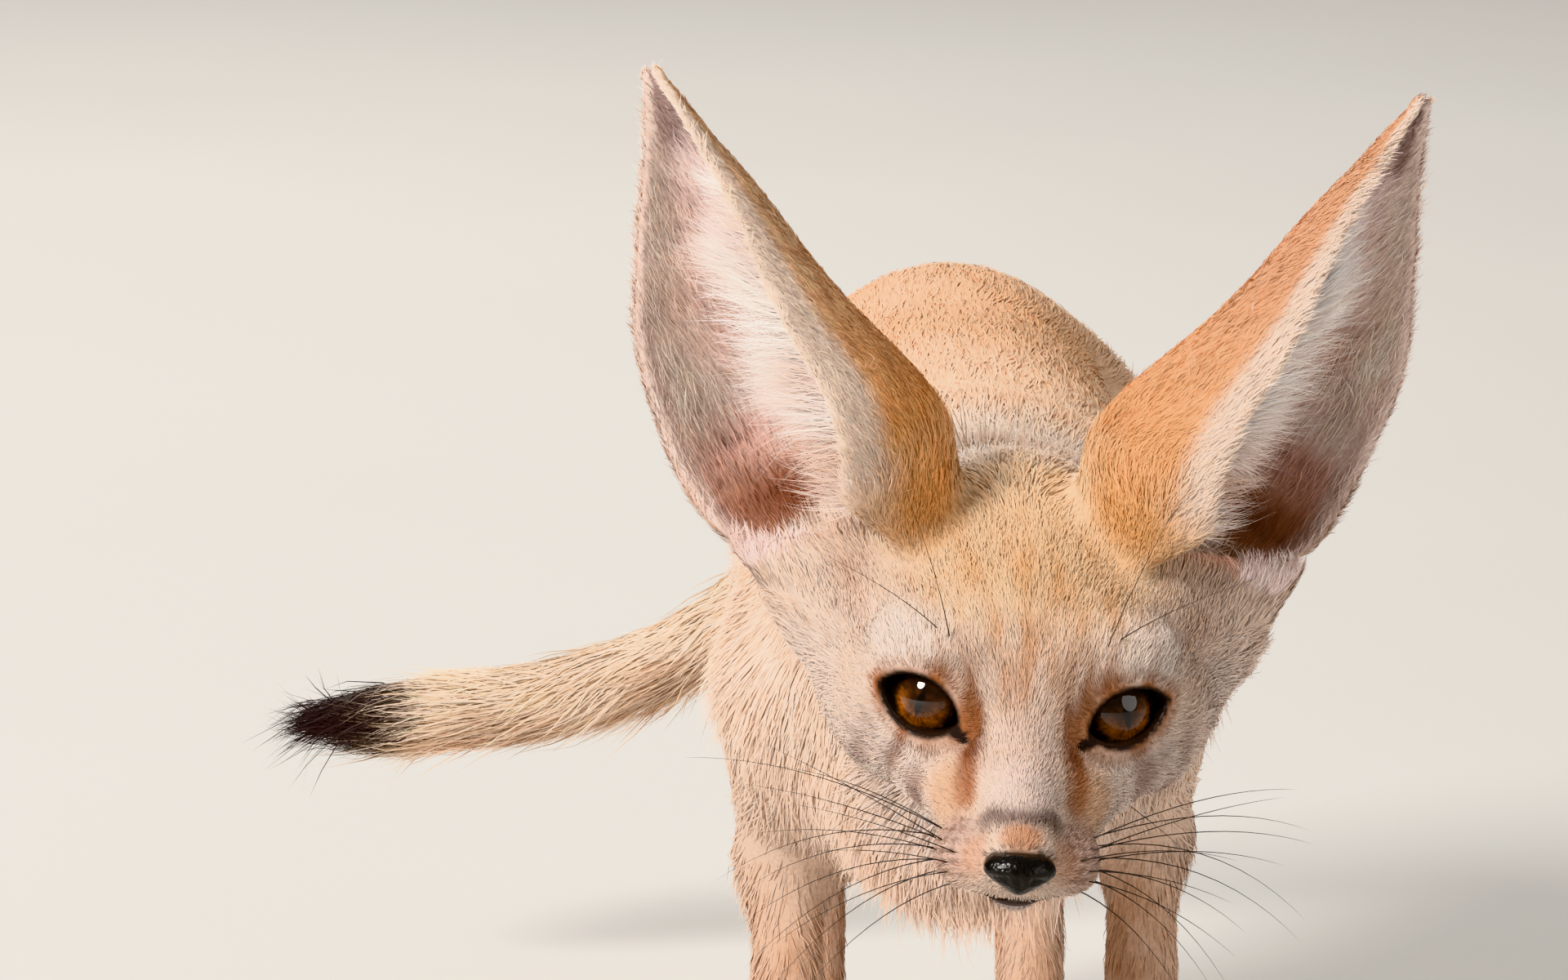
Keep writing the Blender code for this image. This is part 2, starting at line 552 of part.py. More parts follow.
def surface(field, low, high, step):
    """Surface nets: the closed mesh where the field is zero, as points and quads."""
    low, high = np.array(low), np.array(high)
    counts = np.ceil((high - low) / step).astype(int) + 1
    axes = [low[i] + step * np.arange(counts[i]) for i in range(3)]
    grid = np.stack(np.meshgrid(*axes, indexing="ij"), axis=-1)
    values = without_pinches(field(grid.reshape(-1, 3)).reshape(counts), step)
    for axis in range(3):
        for end in (0, -1):
            edge = [slice(None)] * 3
            edge[axis] = end
            values[tuple(edge)] = np.maximum(values[tuple(edge)], step * 0.5)
    cells = counts - 1
    total = np.zeros((*cells, 3))
    hits = np.zeros(cells)
    crossings = []
    for axis in range(3):
        first, second = [slice(None)] * 3, [slice(None)] * 3
        first[axis], second[axis] = slice(0, -1), slice(1, None)
        a, b = values[tuple(first)], values[tuple(second)]
        cross = (a < 0) != (b < 0)
        where = np.argwhere(cross)
        share = a[cross] / (a[cross] - b[cross])
        spot = where.astype(float)
        spot[:, axis] += share
        crossings.append((axis, where, a[cross] < 0))
        others = [i for i in range(3) if i != axis]
        for da in (0, -1):
            for db in (0, -1):
                cell = where.copy()
                cell[:, others[0]] += da
                cell[:, others[1]] += db
                inside = ((cell >= 0) & (cell < cells)).all(axis=1)
                index = tuple(cell[inside].T)
                np.add.at(total, index, spot[inside])
                np.add.at(hits, index, 1)
    used = hits > 0
    number = np.full(cells, -1)
    number[used] = np.arange(used.sum())
    points = low + step * total[used] / hits[used][:, None]
    quads = []
    for axis, where, starts_inside in crossings:
        b, c = (axis + 1) % 3, (axis + 2) % 3
        ring = []
        for db, dc in ((-1, -1), (0, -1), (0, 0), (-1, 0)):
            cell = where.copy()
            cell[:, b] += db
            cell[:, c] += dc
            ring.append(number[tuple(cell.T)])
        faces = np.stack(ring, axis=1)
        faces[~starts_inside] = faces[~starts_inside][:, ::-1]
        quads.append(faces)
    return points, np.concatenate(quads)


def material(name):
    """The part's colour as a plain Principled material, made once."""
    found = bpy.data.materials.get(name)
    if found:
        return found
    made = bpy.data.materials.new(name)
    made.use_nodes = True
    shader = made.node_tree.nodes["Principled BSDF"]
    shader.inputs["Base Color"].default_value = (*COLOURS[name], 1.0)
    shader.inputs["Roughness"].default_value = 0.25 if name in ("nose", "eye") else 0.85
    shader.inputs["Metallic"].default_value = 0.0
    return made


def add_object(name, mesh, coat):
    """A named object with its material, linked to the scene."""
    made = bpy.data.objects.new(name, mesh)
    mesh.materials.clear()
    mesh.materials.append(material(coat))
    mesh.shade_smooth()
    bpy.context.scene.collection.objects.link(made)
    return made


def thinned(points, faces, triangles):
    """The mesh brought down to about this many triangles."""
    mesh = bpy.data.meshes.new("raw")
    mesh.from_pydata(points.tolist(), [], faces.tolist())
    holder = bpy.data.objects.new("raw", mesh)
    bpy.context.scene.collection.objects.link(holder)
    decimate = holder.modifiers.new("Decimate", "DECIMATE")
    decimate.ratio = min(1.0, triangles / (2.0 * len(faces)))
    graph = bpy.context.evaluated_depsgraph_get()
    result = bpy.data.meshes.new_from_object(holder.evaluated_get(graph))
    bpy.data.objects.remove(holder)
    return result


def clipped(mesh, planes):
    """Keeps what lies behind each plane (a point and its outward normal) and caps the cuts."""
    bm = bmesh.new()
    bm.from_mesh(mesh)
    for point, normal in planes:
        normal = Vector(normal).normalized()
        bmesh.ops.bisect_plane(
            bm, geom=bm.verts[:] + bm.edges[:] + bm.faces[:], dist=1e-7,
            plane_co=Vector(point) - normal * (GAP / 2), plane_no=normal, clear_outer=True)
        rim = [e for e in bm.edges if e.is_boundary]
        bmesh.ops.holes_fill(bm, edges=rim, sides=0)
    bmesh.ops.triangulate(bm, faces=bm.faces[:])
    bm.to_mesh(mesh)
    bm.free()
    return mesh


def half_space(point, normal):
    """A large closed block on the outer side of a plane, half a gap back."""
    normal = Vector(normal).normalized()
    turn = normal.to_track_quat("Z", "Y").to_matrix().to_4x4()
    bm = bmesh.new()
    bmesh.ops.create_cube(bm, size=1.0)
    place = Matrix.Translation(Vector(point) + normal * (0.5 - GAP / 2)) @ turn
    bmesh.ops.transform(bm, matrix=place, verts=bm.verts[:])
    bmesh.ops.triangulate(bm, faces=bm.faces[:])
    mesh = bpy.data.meshes.new("block")
    bm.to_mesh(mesh)
    bm.free()
    return mesh


def tail_clearing():
    """A closed block from the tail's root outwards, no wider than the tail's path needs."""
    point, normal = tail_plane(TAIL_CUTS[0])
    width, depth = TAIL_CLEARING
    turn = normal.to_track_quat("Z", "Y").to_matrix().to_4x4()
    place = Matrix.Translation(point + normal * (depth / 2 - GAP / 2)) @ turn
    bm = bmesh.new()
    bmesh.ops.create_cube(bm, size=1.0, matrix=place @ Matrix.Diagonal((width, width, depth, 1.0)))
    bmesh.ops.triangulate(bm, faces=bm.faces[:])
    mesh = bpy.data.meshes.new("clearing")
    bm.to_mesh(mesh)
    bm.free()
    return mesh


def cut_back(mesh, planes):
    """Keeps what lies behind each plane, by taking blocks away."""
    return combined(mesh, [half_space(*plane) for plane in planes], "DIFFERENCE", "MANIFOLD")


def largest_piece(mesh):
    """Drops every loose scrap but the largest closed surface."""
    bm = bmesh.new()
    bm.from_mesh(mesh)
    left = set(bm.verts)
    pieces = []
    while left:
        stack, piece = [left.pop()], []
        while stack:
            vert = stack.pop()
            piece.append(vert)
            for edge in vert.link_edges:
                other = edge.other_vert(vert)
                if other in left:
                    left.remove(other)
                    stack.append(other)
        pieces.append(piece)
    pieces.sort(key=len)
    bmesh.ops.delete(bm, geom=[v for piece in pieces[:-1] for v in piece], context="VERTS")
    bm.to_mesh(mesh)
    bm.free()
    return mesh


def combined(mesh, others, operation, solver="EXACT"):
    """The mesh joined with, or cut by, the other closed meshes."""
    holder = bpy.data.objects.new("holder", mesh)
    bpy.context.scene.collection.objects.link(holder)
    group = bpy.data.collections.new("tools")
    bpy.context.scene.collection.children.link(group)
    for other in others:
        group.objects.link(bpy.data.objects.new("tool", other))
    boolean = holder.modifiers.new("Boolean", "BOOLEAN")
    boolean.operand_type = "COLLECTION"
    boolean.collection = group
    boolean.operation = operation
    boolean.solver = solver
    graph = bpy.context.evaluated_depsgraph_get()
    result = bpy.data.meshes.new_from_object(holder.evaluated_get(graph))
    for tool in list(group.objects):
        bpy.data.objects.remove(tool)
    bpy.data.collections.remove(group)
    bpy.data.objects.remove(holder)
    return result


def ear_plate(side):
    """The ear's thin cup, as a closed plate bent round its axis, in the head's frame."""
    _, _, opens, across = ear_frame(side)
    sunk = EAR_ROOT_SUNK / EAR_LENGTH[side]
    rows, columns = EAR_ROWS, EAR_COLUMNS
    outer, inner = [], []
    for i in range(rows + 1):
        centre, radius, wrap = ear_ring(side, -sunk + (1 + sunk) * i / rows)
        thick = min(EAR_THICK, radius * 0.7)
        for j in range(columns + 1):
            angle = wrap * (2 * j / columns - 1)
            edge = abs(2 * j / columns - 1) ** 6
            ray = across * math.sin(angle) - opens * math.cos(angle)
            outer.append(centre + ray * (radius - thick * 0.3 * edge))
            inner.append(centre + ray * (radius - thick * (1 - 0.3 * edge)))
    width = columns + 1
    count = len(outer)
    faces = []
    for i in range(rows):
        for j in range(columns):
            a = i * width + j
            faces.append((a, a + 1, a + width + 1, a + width))
            faces.append((count + a + width, count + a + width + 1, count + a + 1, count + a))
        for a, flip in ((i * width, False), (i * width + columns, True)):
            strip = (a, a + width, count + a + width, count + a)
            faces.append(strip[::-1] if flip else strip)
    for start, flip in ((0, True), (rows * width, False)):
        for j in range(columns):
            a = start + j
            strip = (a, a + 1, count + a + 1, count + a)
            faces.append(strip[::-1] if flip else strip)
    mesh = bpy.data.meshes.new("ear_plate")
    mesh.from_pydata([p[:] for p in outer + inner], [], faces)
    bm = bmesh.new()
    bm.from_mesh(mesh)
    bmesh.ops.triangulate(bm, faces=bm.faces[:])
    bmesh.ops.recalc_face_normals(bm, faces=bm.faces[:])
    bm.to_mesh(mesh)
    bm.free()
    return mesh


def sphere_mesh(centre, radius):
    """A closed ball."""
    bm = bmesh.new()
    bmesh.ops.create_uvsphere(bm, u_segments=EYE_SEGMENTS, v_segments=EYE_RINGS, radius=radius,
                              matrix=Matrix.Translation(centre))
    bmesh.ops.triangulate(bm, faces=bm.faces[:])
    mesh = bpy.data.meshes.new("ball")
    bm.to_mesh(mesh)
    bm.free()
    return mesh


def nose_field(q):
    """The nose pad with its two nostrils, in the head's frame."""
    x, y, z = NOSE_AT
    width, height, depth = NOSE_SIZE
    pad = ball(q, (x, y, z + 0.0004), (width / 2, depth / 2, height / 2))
    lower = ball(q, (x, y + 0.0004, z - 0.0016), (width * 0.32, depth * 0.44, height * 0.42))
    pad = blend(pad, lower, 0.0015)
    nostril = both_sides(cone, q, (0.0028, y - depth * 0.50, z - 0.0004),
                         (0.0058, y - depth * 0.28, z - 0.0012), 0.0011, 0.0008)
    groove = cone(q, (x, y - depth * 0.52, z), (x, y - depth * 0.42, z - 0.006), 0.0004, 0.0005)
    return carve(carve(pad, nostril, 0.0008), groove, 0.0006)


def head_plane(point, normal):
    """A plane of the head's frame, given in the fox's frame."""
    return HEAD_TO_FOX @ Vector(point), HEAD_TURN.to_3x3() @ Vector(normal)


def opposite(plane):
    """The same cut seen from the other side."""
    return plane[0], -Vector(plane[1])


def mouth_normal():
    """The downward normal of the mouth's plane, in the head's frame."""
    return Vector((0, MOUTH_RISE, -1)).normalized()


def jaw_box(gap):
    """The space of the lower jaw, a wedge below the mouth and ahead of its back, grown by a gap."""
    down = mouth_normal()
    forward = Vector((0, -1, 0))
    along = Vector((1, 0, 0)).cross(down).normalized()
    if along.dot(forward) < 0:
        along = -along
    corner = Vector(MOUTH_FRONT) - down * gap
    corner = corner - along * ((corner.y - JAW_BACK_Y - gap) / along.y)
    bm = bmesh.new()
    points = []
    for x in (-0.05, 0.05):
        base = Vector((x, corner.y, corner.z))
        front = base + along * 0.08
        points.append([base, front, front + Vector((0, 0, -0.04)), base + Vector((0, 0, -0.04))])
    verts = [[bm.verts.new(p) for p in side] for side in points]
    bm.faces.new(verts[0])
    bm.faces.new(verts[1][::-1])
    for i in range(4):
        j = (i + 1) % 4
        bm.faces.new((verts[0][j], verts[0][i], verts[1][i], verts[1][j]))
    bmesh.ops.recalc_face_normals(bm, faces=bm.faces[:])
    bmesh.ops.triangulate(bm, faces=bm.faces[:])
    mesh = bpy.data.meshes.new("jaw_box")
    bm.to_mesh(mesh)
    bm.free()
    mesh.transform(HEAD_TO_FOX)
    return mesh


NECK_PLANE = head_plane((0, 0.062, -0.002), (0, 1, -0.15))
SHOULDER_PLANE = (Vector((0.003, -0.066, 0.154)), Vector((0.10, 1, -0.30)).normalized())
CHEST_PLANE = (Vector((0, 0.014, 0)), Vector((0, 1, 0)))
LOIN_PLANE = (Vector((0, 0.046, 0)), Vector((0, 1, 0)))
FLOOR_PLANE = (Vector((0, 0, -GAP / 2)), Vector((0, 0, -1)))
# Where each leg leaves the body: a slanted cut from the belly up the flank.
LEG_CUTS = {"front": (Vector((0.020, 0, 0.104)), Vector((0.86, 0.0, -0.52))),
            "hind": (Vector((0.016, 0, 0.118)), Vector((0.84, 0.0, -0.54)))}


def leg_plane(name):
    """The cut between the torso and one leg, facing the leg."""
    point, normal = LEG_CUTS[name.split("_")[0]]
    sign = 1 if name.endswith("left") else -1
    return (Vector((sign * point.x, point.y, point.z)),
            Vector((sign * normal.x, normal.y, normal.z)).normalized())


def tail_plane(share):
    """The cut across the tail at a share of its line, facing the tip."""
    at = share * (len(TAIL_LINE) - 1)
    i = int(at)
    a, b = (Vector(TAIL_LINE[k][:3]) for k in (i, i + 1))
    return a.lerp(b, at - i), (b - a).normalized()


def make_node(name, coat, parts, low, high, planes, clearing=False):
    """Meshes the named parts in a box, thins them, and parts them with the planes."""
    step, triangles = MESHING[name.split("_")[-1]]
    points, faces = surface(lambda p: fox_field(p, parts), low, high, step)
    mesh = clipped(thinned(points, faces, triangles), planes)
    if clearing:
        mesh = combined(mesh, [tail_clearing()], "DIFFERENCE", "MANIFOLD")
    return add_object(name, largest_piece(mesh), coat)


def make_head():
    """Head, jaw, nose, eyes and ears."""
    points, faces = surface(lambda p: fox_field(p, TRUNK),
                            (-0.062, -0.200, 0.105), (0.076, -0.062, 0.222), MESHING["head"][0])
    head = thinned(points, faces, MESHING["head"][1])
    plates, ear_planes = [], {}
    rng = random.Random(LOCK_SEED)
    for side in ("left", "right"):
        plate = ear_plate(side)
        root, axis, _, _ = ear_frame(side)
        plate.transform(HEAD_TO_FOX)
        plates.append(plate)
        ear_planes[side] = head_plane(root + axis * EAR_CUT, axis)
    fringes = [lock for side in ("left", "right") for lock in ear_locks(side, rng)]
    ruffs = [lock for sign in (1, -1) for lock in cheek_locks(sign, rng)]
    whole = combined(head, plates + fringes + ruffs, "UNION", "MANIFOLD")
    middle = head_plane((0, 0, 0), (1, 0, 0))
    for side in ("left", "right"):
        inner = opposite(middle) if side == "left" else middle
        ear = cut_back(whole.copy(), [opposite(ear_planes[side]), inner])
        add_object("ear_" + side, largest_piece(ear), "ear_back")
    balls = []
    for sign, side in ((1, "left"), (-1, "right")):
        centre = HEAD_TO_FOX @ Vector((sign * EYE_AT[0], EYE_AT[1], EYE_AT[2]))
        balls.append(sphere_mesh(centre, EYE_RADIUS + GAP))
        add_object("eye_" + side, sphere_mesh(centre, EYE_RADIUS), "eye")
    nose_plane = head_plane((0, NOSE_PLANE_Y, -0.012), (0, -1, 0.10))
    whole = cut_back(whole, [ear_planes["left"], ear_planes["right"], NECK_PLANE, nose_plane])
    skull = combined(whole.copy(), balls + [jaw_box(GAP)], "DIFFERENCE", "MANIFOLD")
    add_object("head", largest_piece(skull), "coat")
    jaw = combined(whole, [jaw_box(0.0)], "INTERSECT", "MANIFOLD")
    add_object("jaw", largest_piece(jaw), "pale_coat")
    low = Vector(NOSE_AT) - Vector((0.009, 0.007, 0.007))
    high = Vector(NOSE_AT) + Vector((0.009, 0.007, 0.007))
    points, faces = surface(nose_field, low, high, MESHING["nose"][0])
    nose = thinned(points, faces, MESHING["nose"][1])
    nose.transform(HEAD_TO_FOX)
    add_object("nose", largest_piece(clipped(nose, [opposite(nose_plane)])), "nose")


TRUNK = ("torso", "neck", "head", "tail", *LEGS)


def make_torso():
    """Neck, chest, loins and rump."""
    front = [leg_plane("front_left"), leg_plane("front_right")]
    hind = [leg_plane("hind_left"), leg_plane("hind_right")]
    make_node("neck", "coat", TRUNK, (-0.060, -0.125, 0.095), (0.066, -0.030, BODY_TOP),
              [opposite(NECK_PLANE), SHOULDER_PLANE])
    make_node("chest", "coat", TRUNK, (-BODY_SIDE, -0.098, 0.080), (BODY_SIDE, 0.040, BODY_TOP),
              [opposite(SHOULDER_PLANE), CHEST_PLANE, *front])
    make_node("loins", "coat", TRUNK, (-BODY_SIDE, 0.000, 0.080), (BODY_SIDE, 0.064, BODY_TOP),
              [opposite(CHEST_PLANE), LOIN_PLANE])
    make_node("rump", "coat", TRUNK, (-BODY_SIDE, 0.030, 0.080), (BODY_SIDE, 0.195, BODY_TOP),
              [opposite(LOIN_PLANE), *hind], clearing=True)


def make_legs():
    """Each leg in three lengths, with its paw last."""
    for name in LEGS:
        is_front = name.startswith("front")
        sign = 1 if name.endswith("left") else -1
        low_x, high_x = sorted((sign * 0.002, sign * BODY_SIDE))
        hip, knee, hock, toe = (Vector(joint) for joint in LEGS[name])
        knee_cut = (knee - Vector((0, 0, KNEE_DROP)), Vector((0, 0, -1)))
        paw_cut = (hock.lerp(toe, PAW_CUT_SHARE), Vector((0, 0, -1)))
        own_side = opposite(leg_plane(name))
        # The upper length keeps to its own part of the trunk.
        bounds = [CHEST_PLANE, opposite(SHOULDER_PLANE)] if is_front else [opposite(LOIN_PLANE)]
        upper, lower = ("shoulder", "forearm") if is_front else ("thigh", "shank")
        back, ahead = hip.y + LEG_REACH, hip.y - LEG_REACH
        make_node(f"{name}_{upper}", "coat", TRUNK, (low_x, ahead, 0.060), (high_x, back, BODY_TOP),
                  [own_side, knee_cut, *bounds], clearing=not is_front)
        make_node(f"{name}_{lower}", "pale_coat", TRUNK, (low_x, ahead, 0.0), (high_x, back, 0.135),
                  [opposite(knee_cut), paw_cut, own_side])
        make_node(f"{name}_paw", "pale_coat", (name, name + "_paw"), (toe.x - 0.016, toe.y - 0.030, -0.003),
                  (toe.x + 0.016, toe.y + 0.024, 0.040), [opposite(paw_cut), FLOOR_PLANE])


def make_tail():
    """The tail with its locks, as one solid parted into three lengths."""
    low = TAIL_LINE[:, :3].min(axis=0) - 0.018
    high = TAIL_LINE[:, :3].max(axis=0) + 0.018
    points, faces = surface(tail_core, low, high, MESHING["tail"][0])
    core = thinned(points, faces, MESHING["tail"][1])
    whole = combined(core, tail_locks(random.Random(LOCK_SEED)), "UNION", "MANIFOLD")
    cuts = [tail_plane(share) for share in TAIL_CUTS]
    for i, name in enumerate(("tail_root", "tail_middle", "tail_tip")):
        planes = [opposite(cuts[i])] + ([cuts[i + 1]] if i < 2 else [])
        coat = "dark_tip" if name == "tail_tip" else "coat"
        add_object(name, largest_piece(cut_back(whole.copy(), planes)), coat)


def centre_on_floor():
    """Moves every mesh so that the bounding box is centred on the origin."""
    objects = list(bpy.context.scene.objects)
    points = np.array([v.co[:] for o in objects for v in o.data.vertices])
    low, high = points.min(axis=0), points.max(axis=0)
    shift = Matrix.Translation((-(low[0] + high[0]) / 2, -(low[1] + high[1]) / 2, 0))
    for made in objects:
        made.data.transform(shift)


def main():
    for old in list(bpy.data.objects):
        bpy.data.objects.remove(old)
    make_head()
    make_torso()
    make_legs()
    make_tail()
    centre_on_floor()


main()
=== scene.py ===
"""A life-size fennec fox: skin, eyes, nose, claws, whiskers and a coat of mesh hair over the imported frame.

Everything is worked out in the frame of the part's source, the head in a frame of its own, and each
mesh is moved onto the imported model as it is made. Colours are given as they look in daylight (0 to 255).
"""

import math

import bmesh
import bpy
import numpy as np
from mathutils import Euler, Matrix, Vector
from mathutils.bvhtree import BVHTree
from mathutils.kdtree import KDTree


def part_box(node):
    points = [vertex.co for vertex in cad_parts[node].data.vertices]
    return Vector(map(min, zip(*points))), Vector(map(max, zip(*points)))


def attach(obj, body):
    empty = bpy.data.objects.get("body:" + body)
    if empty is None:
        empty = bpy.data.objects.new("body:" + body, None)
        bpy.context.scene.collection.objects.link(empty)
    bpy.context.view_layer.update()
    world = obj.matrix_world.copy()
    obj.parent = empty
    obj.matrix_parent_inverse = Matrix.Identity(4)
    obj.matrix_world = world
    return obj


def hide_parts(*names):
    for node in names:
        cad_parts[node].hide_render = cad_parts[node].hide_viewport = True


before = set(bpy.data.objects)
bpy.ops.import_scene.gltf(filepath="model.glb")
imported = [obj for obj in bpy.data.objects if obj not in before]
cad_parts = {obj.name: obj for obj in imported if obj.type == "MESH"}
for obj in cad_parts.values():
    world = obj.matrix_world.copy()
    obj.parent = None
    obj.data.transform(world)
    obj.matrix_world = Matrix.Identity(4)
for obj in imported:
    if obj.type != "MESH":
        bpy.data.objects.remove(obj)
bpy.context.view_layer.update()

# Sizes shared with the solids
HEAD_AT = (0.007, -0.150, 0.157)
HEAD_PITCH, HEAD_ROLL, HEAD_YAW = math.radians(13), math.radians(3.7), math.radians(-0.4)
EYE_RADIUS = 0.0083
EYE_AT = (0.0147, 0.0060, -0.0016)
EYE_FACING = (0.36, -0.90, 0.22)
EYE_SLANT = math.radians(11)
EYE_OPENING = (0.0160, 0.0093)
LID_THICK = 0.0015
SKULL = ((0, 0.036, 0.001), (0.030, 0.034, 0.0245))
FOREHEAD = ((0, 0.013, 0.003), (0.021, 0.021, 0.0135))
CHEEK = ((0.018, 0.022, -0.008), (0.017, 0.022, 0.017))
RUFF = ((0.0255, 0.034, -0.006), (0.0125, 0.017, 0.015))
MUZZLE = ((0, 0.004, -0.0095), (0, -0.026, -0.0150), 0.0140, 0.0078)
BRIDGE = ((0, 0.002, -0.003), (0, -0.031, -0.0115), 0.0078, 0.0050)
WHISKER_PAD = ((0.0070, -0.0225, -0.0168), (0.0078, 0.0095, 0.0062))
CHIN = ((0, 0.012, -0.020), (0, -0.0235, -0.0225), 0.0110, 0.0048)
UNDER_EYE = ((0.018, 0.011, -0.009), (0.0085, -0.009, -0.0125), 0.0085, 0.0078)
EYE_CORNER = ((0.0215, 0.0125, -0.0015), (0.0072, 0.0085, 0.0085))
BROW = ((0.0155, 0.0060, 0.0085), (0.0092, 0.0070, 0.0040))
EAR_MOUND = ((0.021, 0.036, 0.008), (0.0295, 0.040, 0.021), 0.0185, 0.0150)
CONCHA = ((0.030, 0.032, -0.001), (0.037, 0.036, 0.012), 0.0095, 0.0090)
EAR_HEEL = ((0.0345, 0.034, -0.002), (0.0197, 0.001, 0.0005), 0.0085, 0.0064)
NOSE_AT = (0.0, -0.0362, -0.0125)
NOSE_SIZE = (0.0122, 0.0066, 0.0080)
MOUTH_FRONT = (0.0, -0.030, -0.0212)
MOUTH_RISE = 0.10
JAW_BACK_Y = -0.001
EAR_AT = {"left": (0.0250, 0.036, 0.012), "right": (0.0293, 0.036, 0.012)}
EAR_AXIS = {"left": (0.40, 0.17, 0.90), "right": (0.455, 0.20, 0.87)}
EAR_LENGTH = {"left": 0.0925, "right": 0.0905}
EAR_OPENS = {"left": math.radians(59), "right": math.radians(53)}
EAR_FORWARD, EAR_FLARE, EAR_THICK, EAR_LINING = 0.50, 0.60, 0.0028, 0.0010
EAR_VIEW_TILT = math.radians(25)
EAR_HOLLOW = (0.20, 0.30, 0.45, 0.60)
EAR_FLOOR_TILT = math.radians(35)
EAR_SHAPE = ((-0.14, 0.0130, 80), (0.0, 0.0190, 105), (0.12, 0.0234, 120), (0.24, 0.0256, 108),
             (0.34, 0.0252, 99), (0.47, 0.0228, 93), (0.58, 0.0198, 89), (0.73, 0.0145, 82),
             (0.85, 0.0090, 76), (0.94, 0.0055, 68), (1.0, 0.0026, 60))
TORSO = ((-0.056, 0.132, 0.036), (-0.028, 0.139, 0.0500), (0.020, 0.142, 0.0490),
         (0.070, 0.149, 0.0415), (0.110, 0.149, 0.0415), (0.134, 0.146, 0.0365))
TORSO_WIDTH = 0.94
BREAST_LOW = ((0.0, -0.062, 0.120, 0.026), (0.0, -0.030, 0.116, 0.029))
NECK = ((0.001, -0.048, 0.152, 0.040), (0.006, -0.092, 0.161, 0.031))
TAIL = ((0.000, 0.132, 0.158, 0.0110), (-0.003, 0.160, 0.152, 0.0106),
        (-0.015, 0.186, 0.128, 0.0106), (-0.035, 0.202, 0.1005, 0.0108),
        (-0.056, 0.207, 0.0835, 0.0110), (-0.079, 0.207, 0.0745, 0.0112),
        (-0.100, 0.205, 0.0708, 0.0108), (-0.117, 0.203, 0.0690, 0.0086),
        (-0.128, 0.202, 0.0682, 0.0045))
LEGS = {
    "front_right": ((-0.030, -0.048, 0.136), (-0.0335, -0.026, 0.098),
                    (-0.033, -0.050, 0.034), (-0.033, -0.060, 0.009)),
    "front_left": ((0.030, -0.042, 0.136), (0.0350, -0.010, 0.098),
                   (0.035, -0.016, 0.034), (0.035, -0.025, 0.009)),
    "hind_right": ((-0.020, 0.118, 0.146), (-0.028, 0.098, 0.100),
                   (-0.028, 0.152, 0.060), (-0.028, 0.140, 0.009)),
    "hind_left": ((0.020, 0.112, 0.146), (0.0255, 0.074, 0.101),
                  (0.018, 0.122, 0.058), (0.018, 0.102, 0.009)),
}
LEG_RADII = {"front": (0.0195, 0.0122, 0.0082, 0.0077), "hind": (0.0275, 0.0190, 0.0084, 0.0077)}
PAW_LENGTH, PAW_WIDTH, PAD_SUNK, TOE_RADIUS, CLAW_LENGTH = 0.030, 0.0185, 0.0014, 0.0044, 0.0055

HEAD_TURN = Euler((HEAD_PITCH, HEAD_ROLL, HEAD_YAW), "XYZ").to_matrix().to_4x4()
HEAD_TO_FOX = Matrix.Translation(HEAD_AT) @ HEAD_TURN
TURN = np.array(HEAD_TURN)[:3, :3]
eyes = [(Vector(a) + Vector(b)) / 2 for a, b in (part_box("eye_left"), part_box("eye_right"))]
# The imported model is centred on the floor, so everything made here is moved by this much.
SHIFT = np.array((eyes[0] + eyes[1]) / 2 - HEAD_TO_FOX @ Vector((0, EYE_AT[1], EYE_AT[2])))


# Fields: negative inside, in metres
def blend(a, b, reach):
    """Both forms, with a fillet where they meet."""
    h = np.clip(0.5 + 0.5 * (b - a) / reach, 0.0, 1.0)
    return b + (a - b) * h - reach * h * (1.0 - h)


def carve(a, b, reach):
    """Form a with form b cut out of it, the edge softened."""
    return -blend(-a, b, reach)


def ball(p, centre, radii):
    q = (p - np.array(centre)) / np.array(radii)
    length = np.linalg.norm(q, axis=1)
    slope = np.linalg.norm(q / np.array(radii), axis=1)
    return length * (length - 1.0) / np.maximum(slope, 1e-9)


def cone(p, a, b, radius_a, radius_b):
    a = np.array(a)
    along = np.array(b) - a
    t = np.clip((p - a) @ along / (along @ along), 0.0, 1.0)
    return np.linalg.norm(p - a - t[:, None] * along, axis=1) - (radius_a + t * (radius_b - radius_a))


def folded(p):
    """Both sides as one: x is never negative."""
    return np.stack((np.abs(p[:, 0]), p[:, 1], p[:, 2]), -1)


def both_sides(form, p, place, *rest):
    """A form given for one side, on both."""
    return form(folded(p), place, *rest)


def only(mask, p, form):
    """A costly field, worked out only where the mask holds."""
    found = np.full(len(p), 1.0)
    if mask.any():
        found[mask] = form(p[mask])
    return found


def smooth_line(points, steps):
    """A smooth curve through rows of numbers, so many steps for each."""
    given = np.array(points)
    ends = np.vstack((2 * given[0] - given[1], given, 2 * given[-1] - given[-2]))
    line = []
    for i in range(len(given) - 1):
        p0, p1, p2, p3 = ends[i:i + 4]
        for t in np.arange(steps) / steps:
            line.append(0.5 * (2 * p1 + (p2 - p0) * t + (2 * p0 - 5 * p1 + 4 * p2 - p3) * t ** 2
                               + (3 * p1 - p0 - 3 * p2 + p3) * t ** 3))
    return np.array(line + [given[-1]])


TORSO_LINE = smooth_line(TORSO, 6)
TAIL_LINE = smooth_line(TAIL, 5)
EAR_CURVE = smooth_line(EAR_SHAPE, 6)


def rise(value, low, high):
    """0 below low, 1 above high, smooth between."""
    t = np.clip((value - low) / (high - low), 0.0, 1.0)
    return t * t * (3 - 2 * t)


def fall(value, low, high):
    return 1 - rise(value, low, high)


def unit(value):
    return np.clip(value, 0, 1)


def straight(ways):
    """Rows as directions of length 1."""
    return ways / np.linalg.norm(ways, axis=1, keepdims=True)


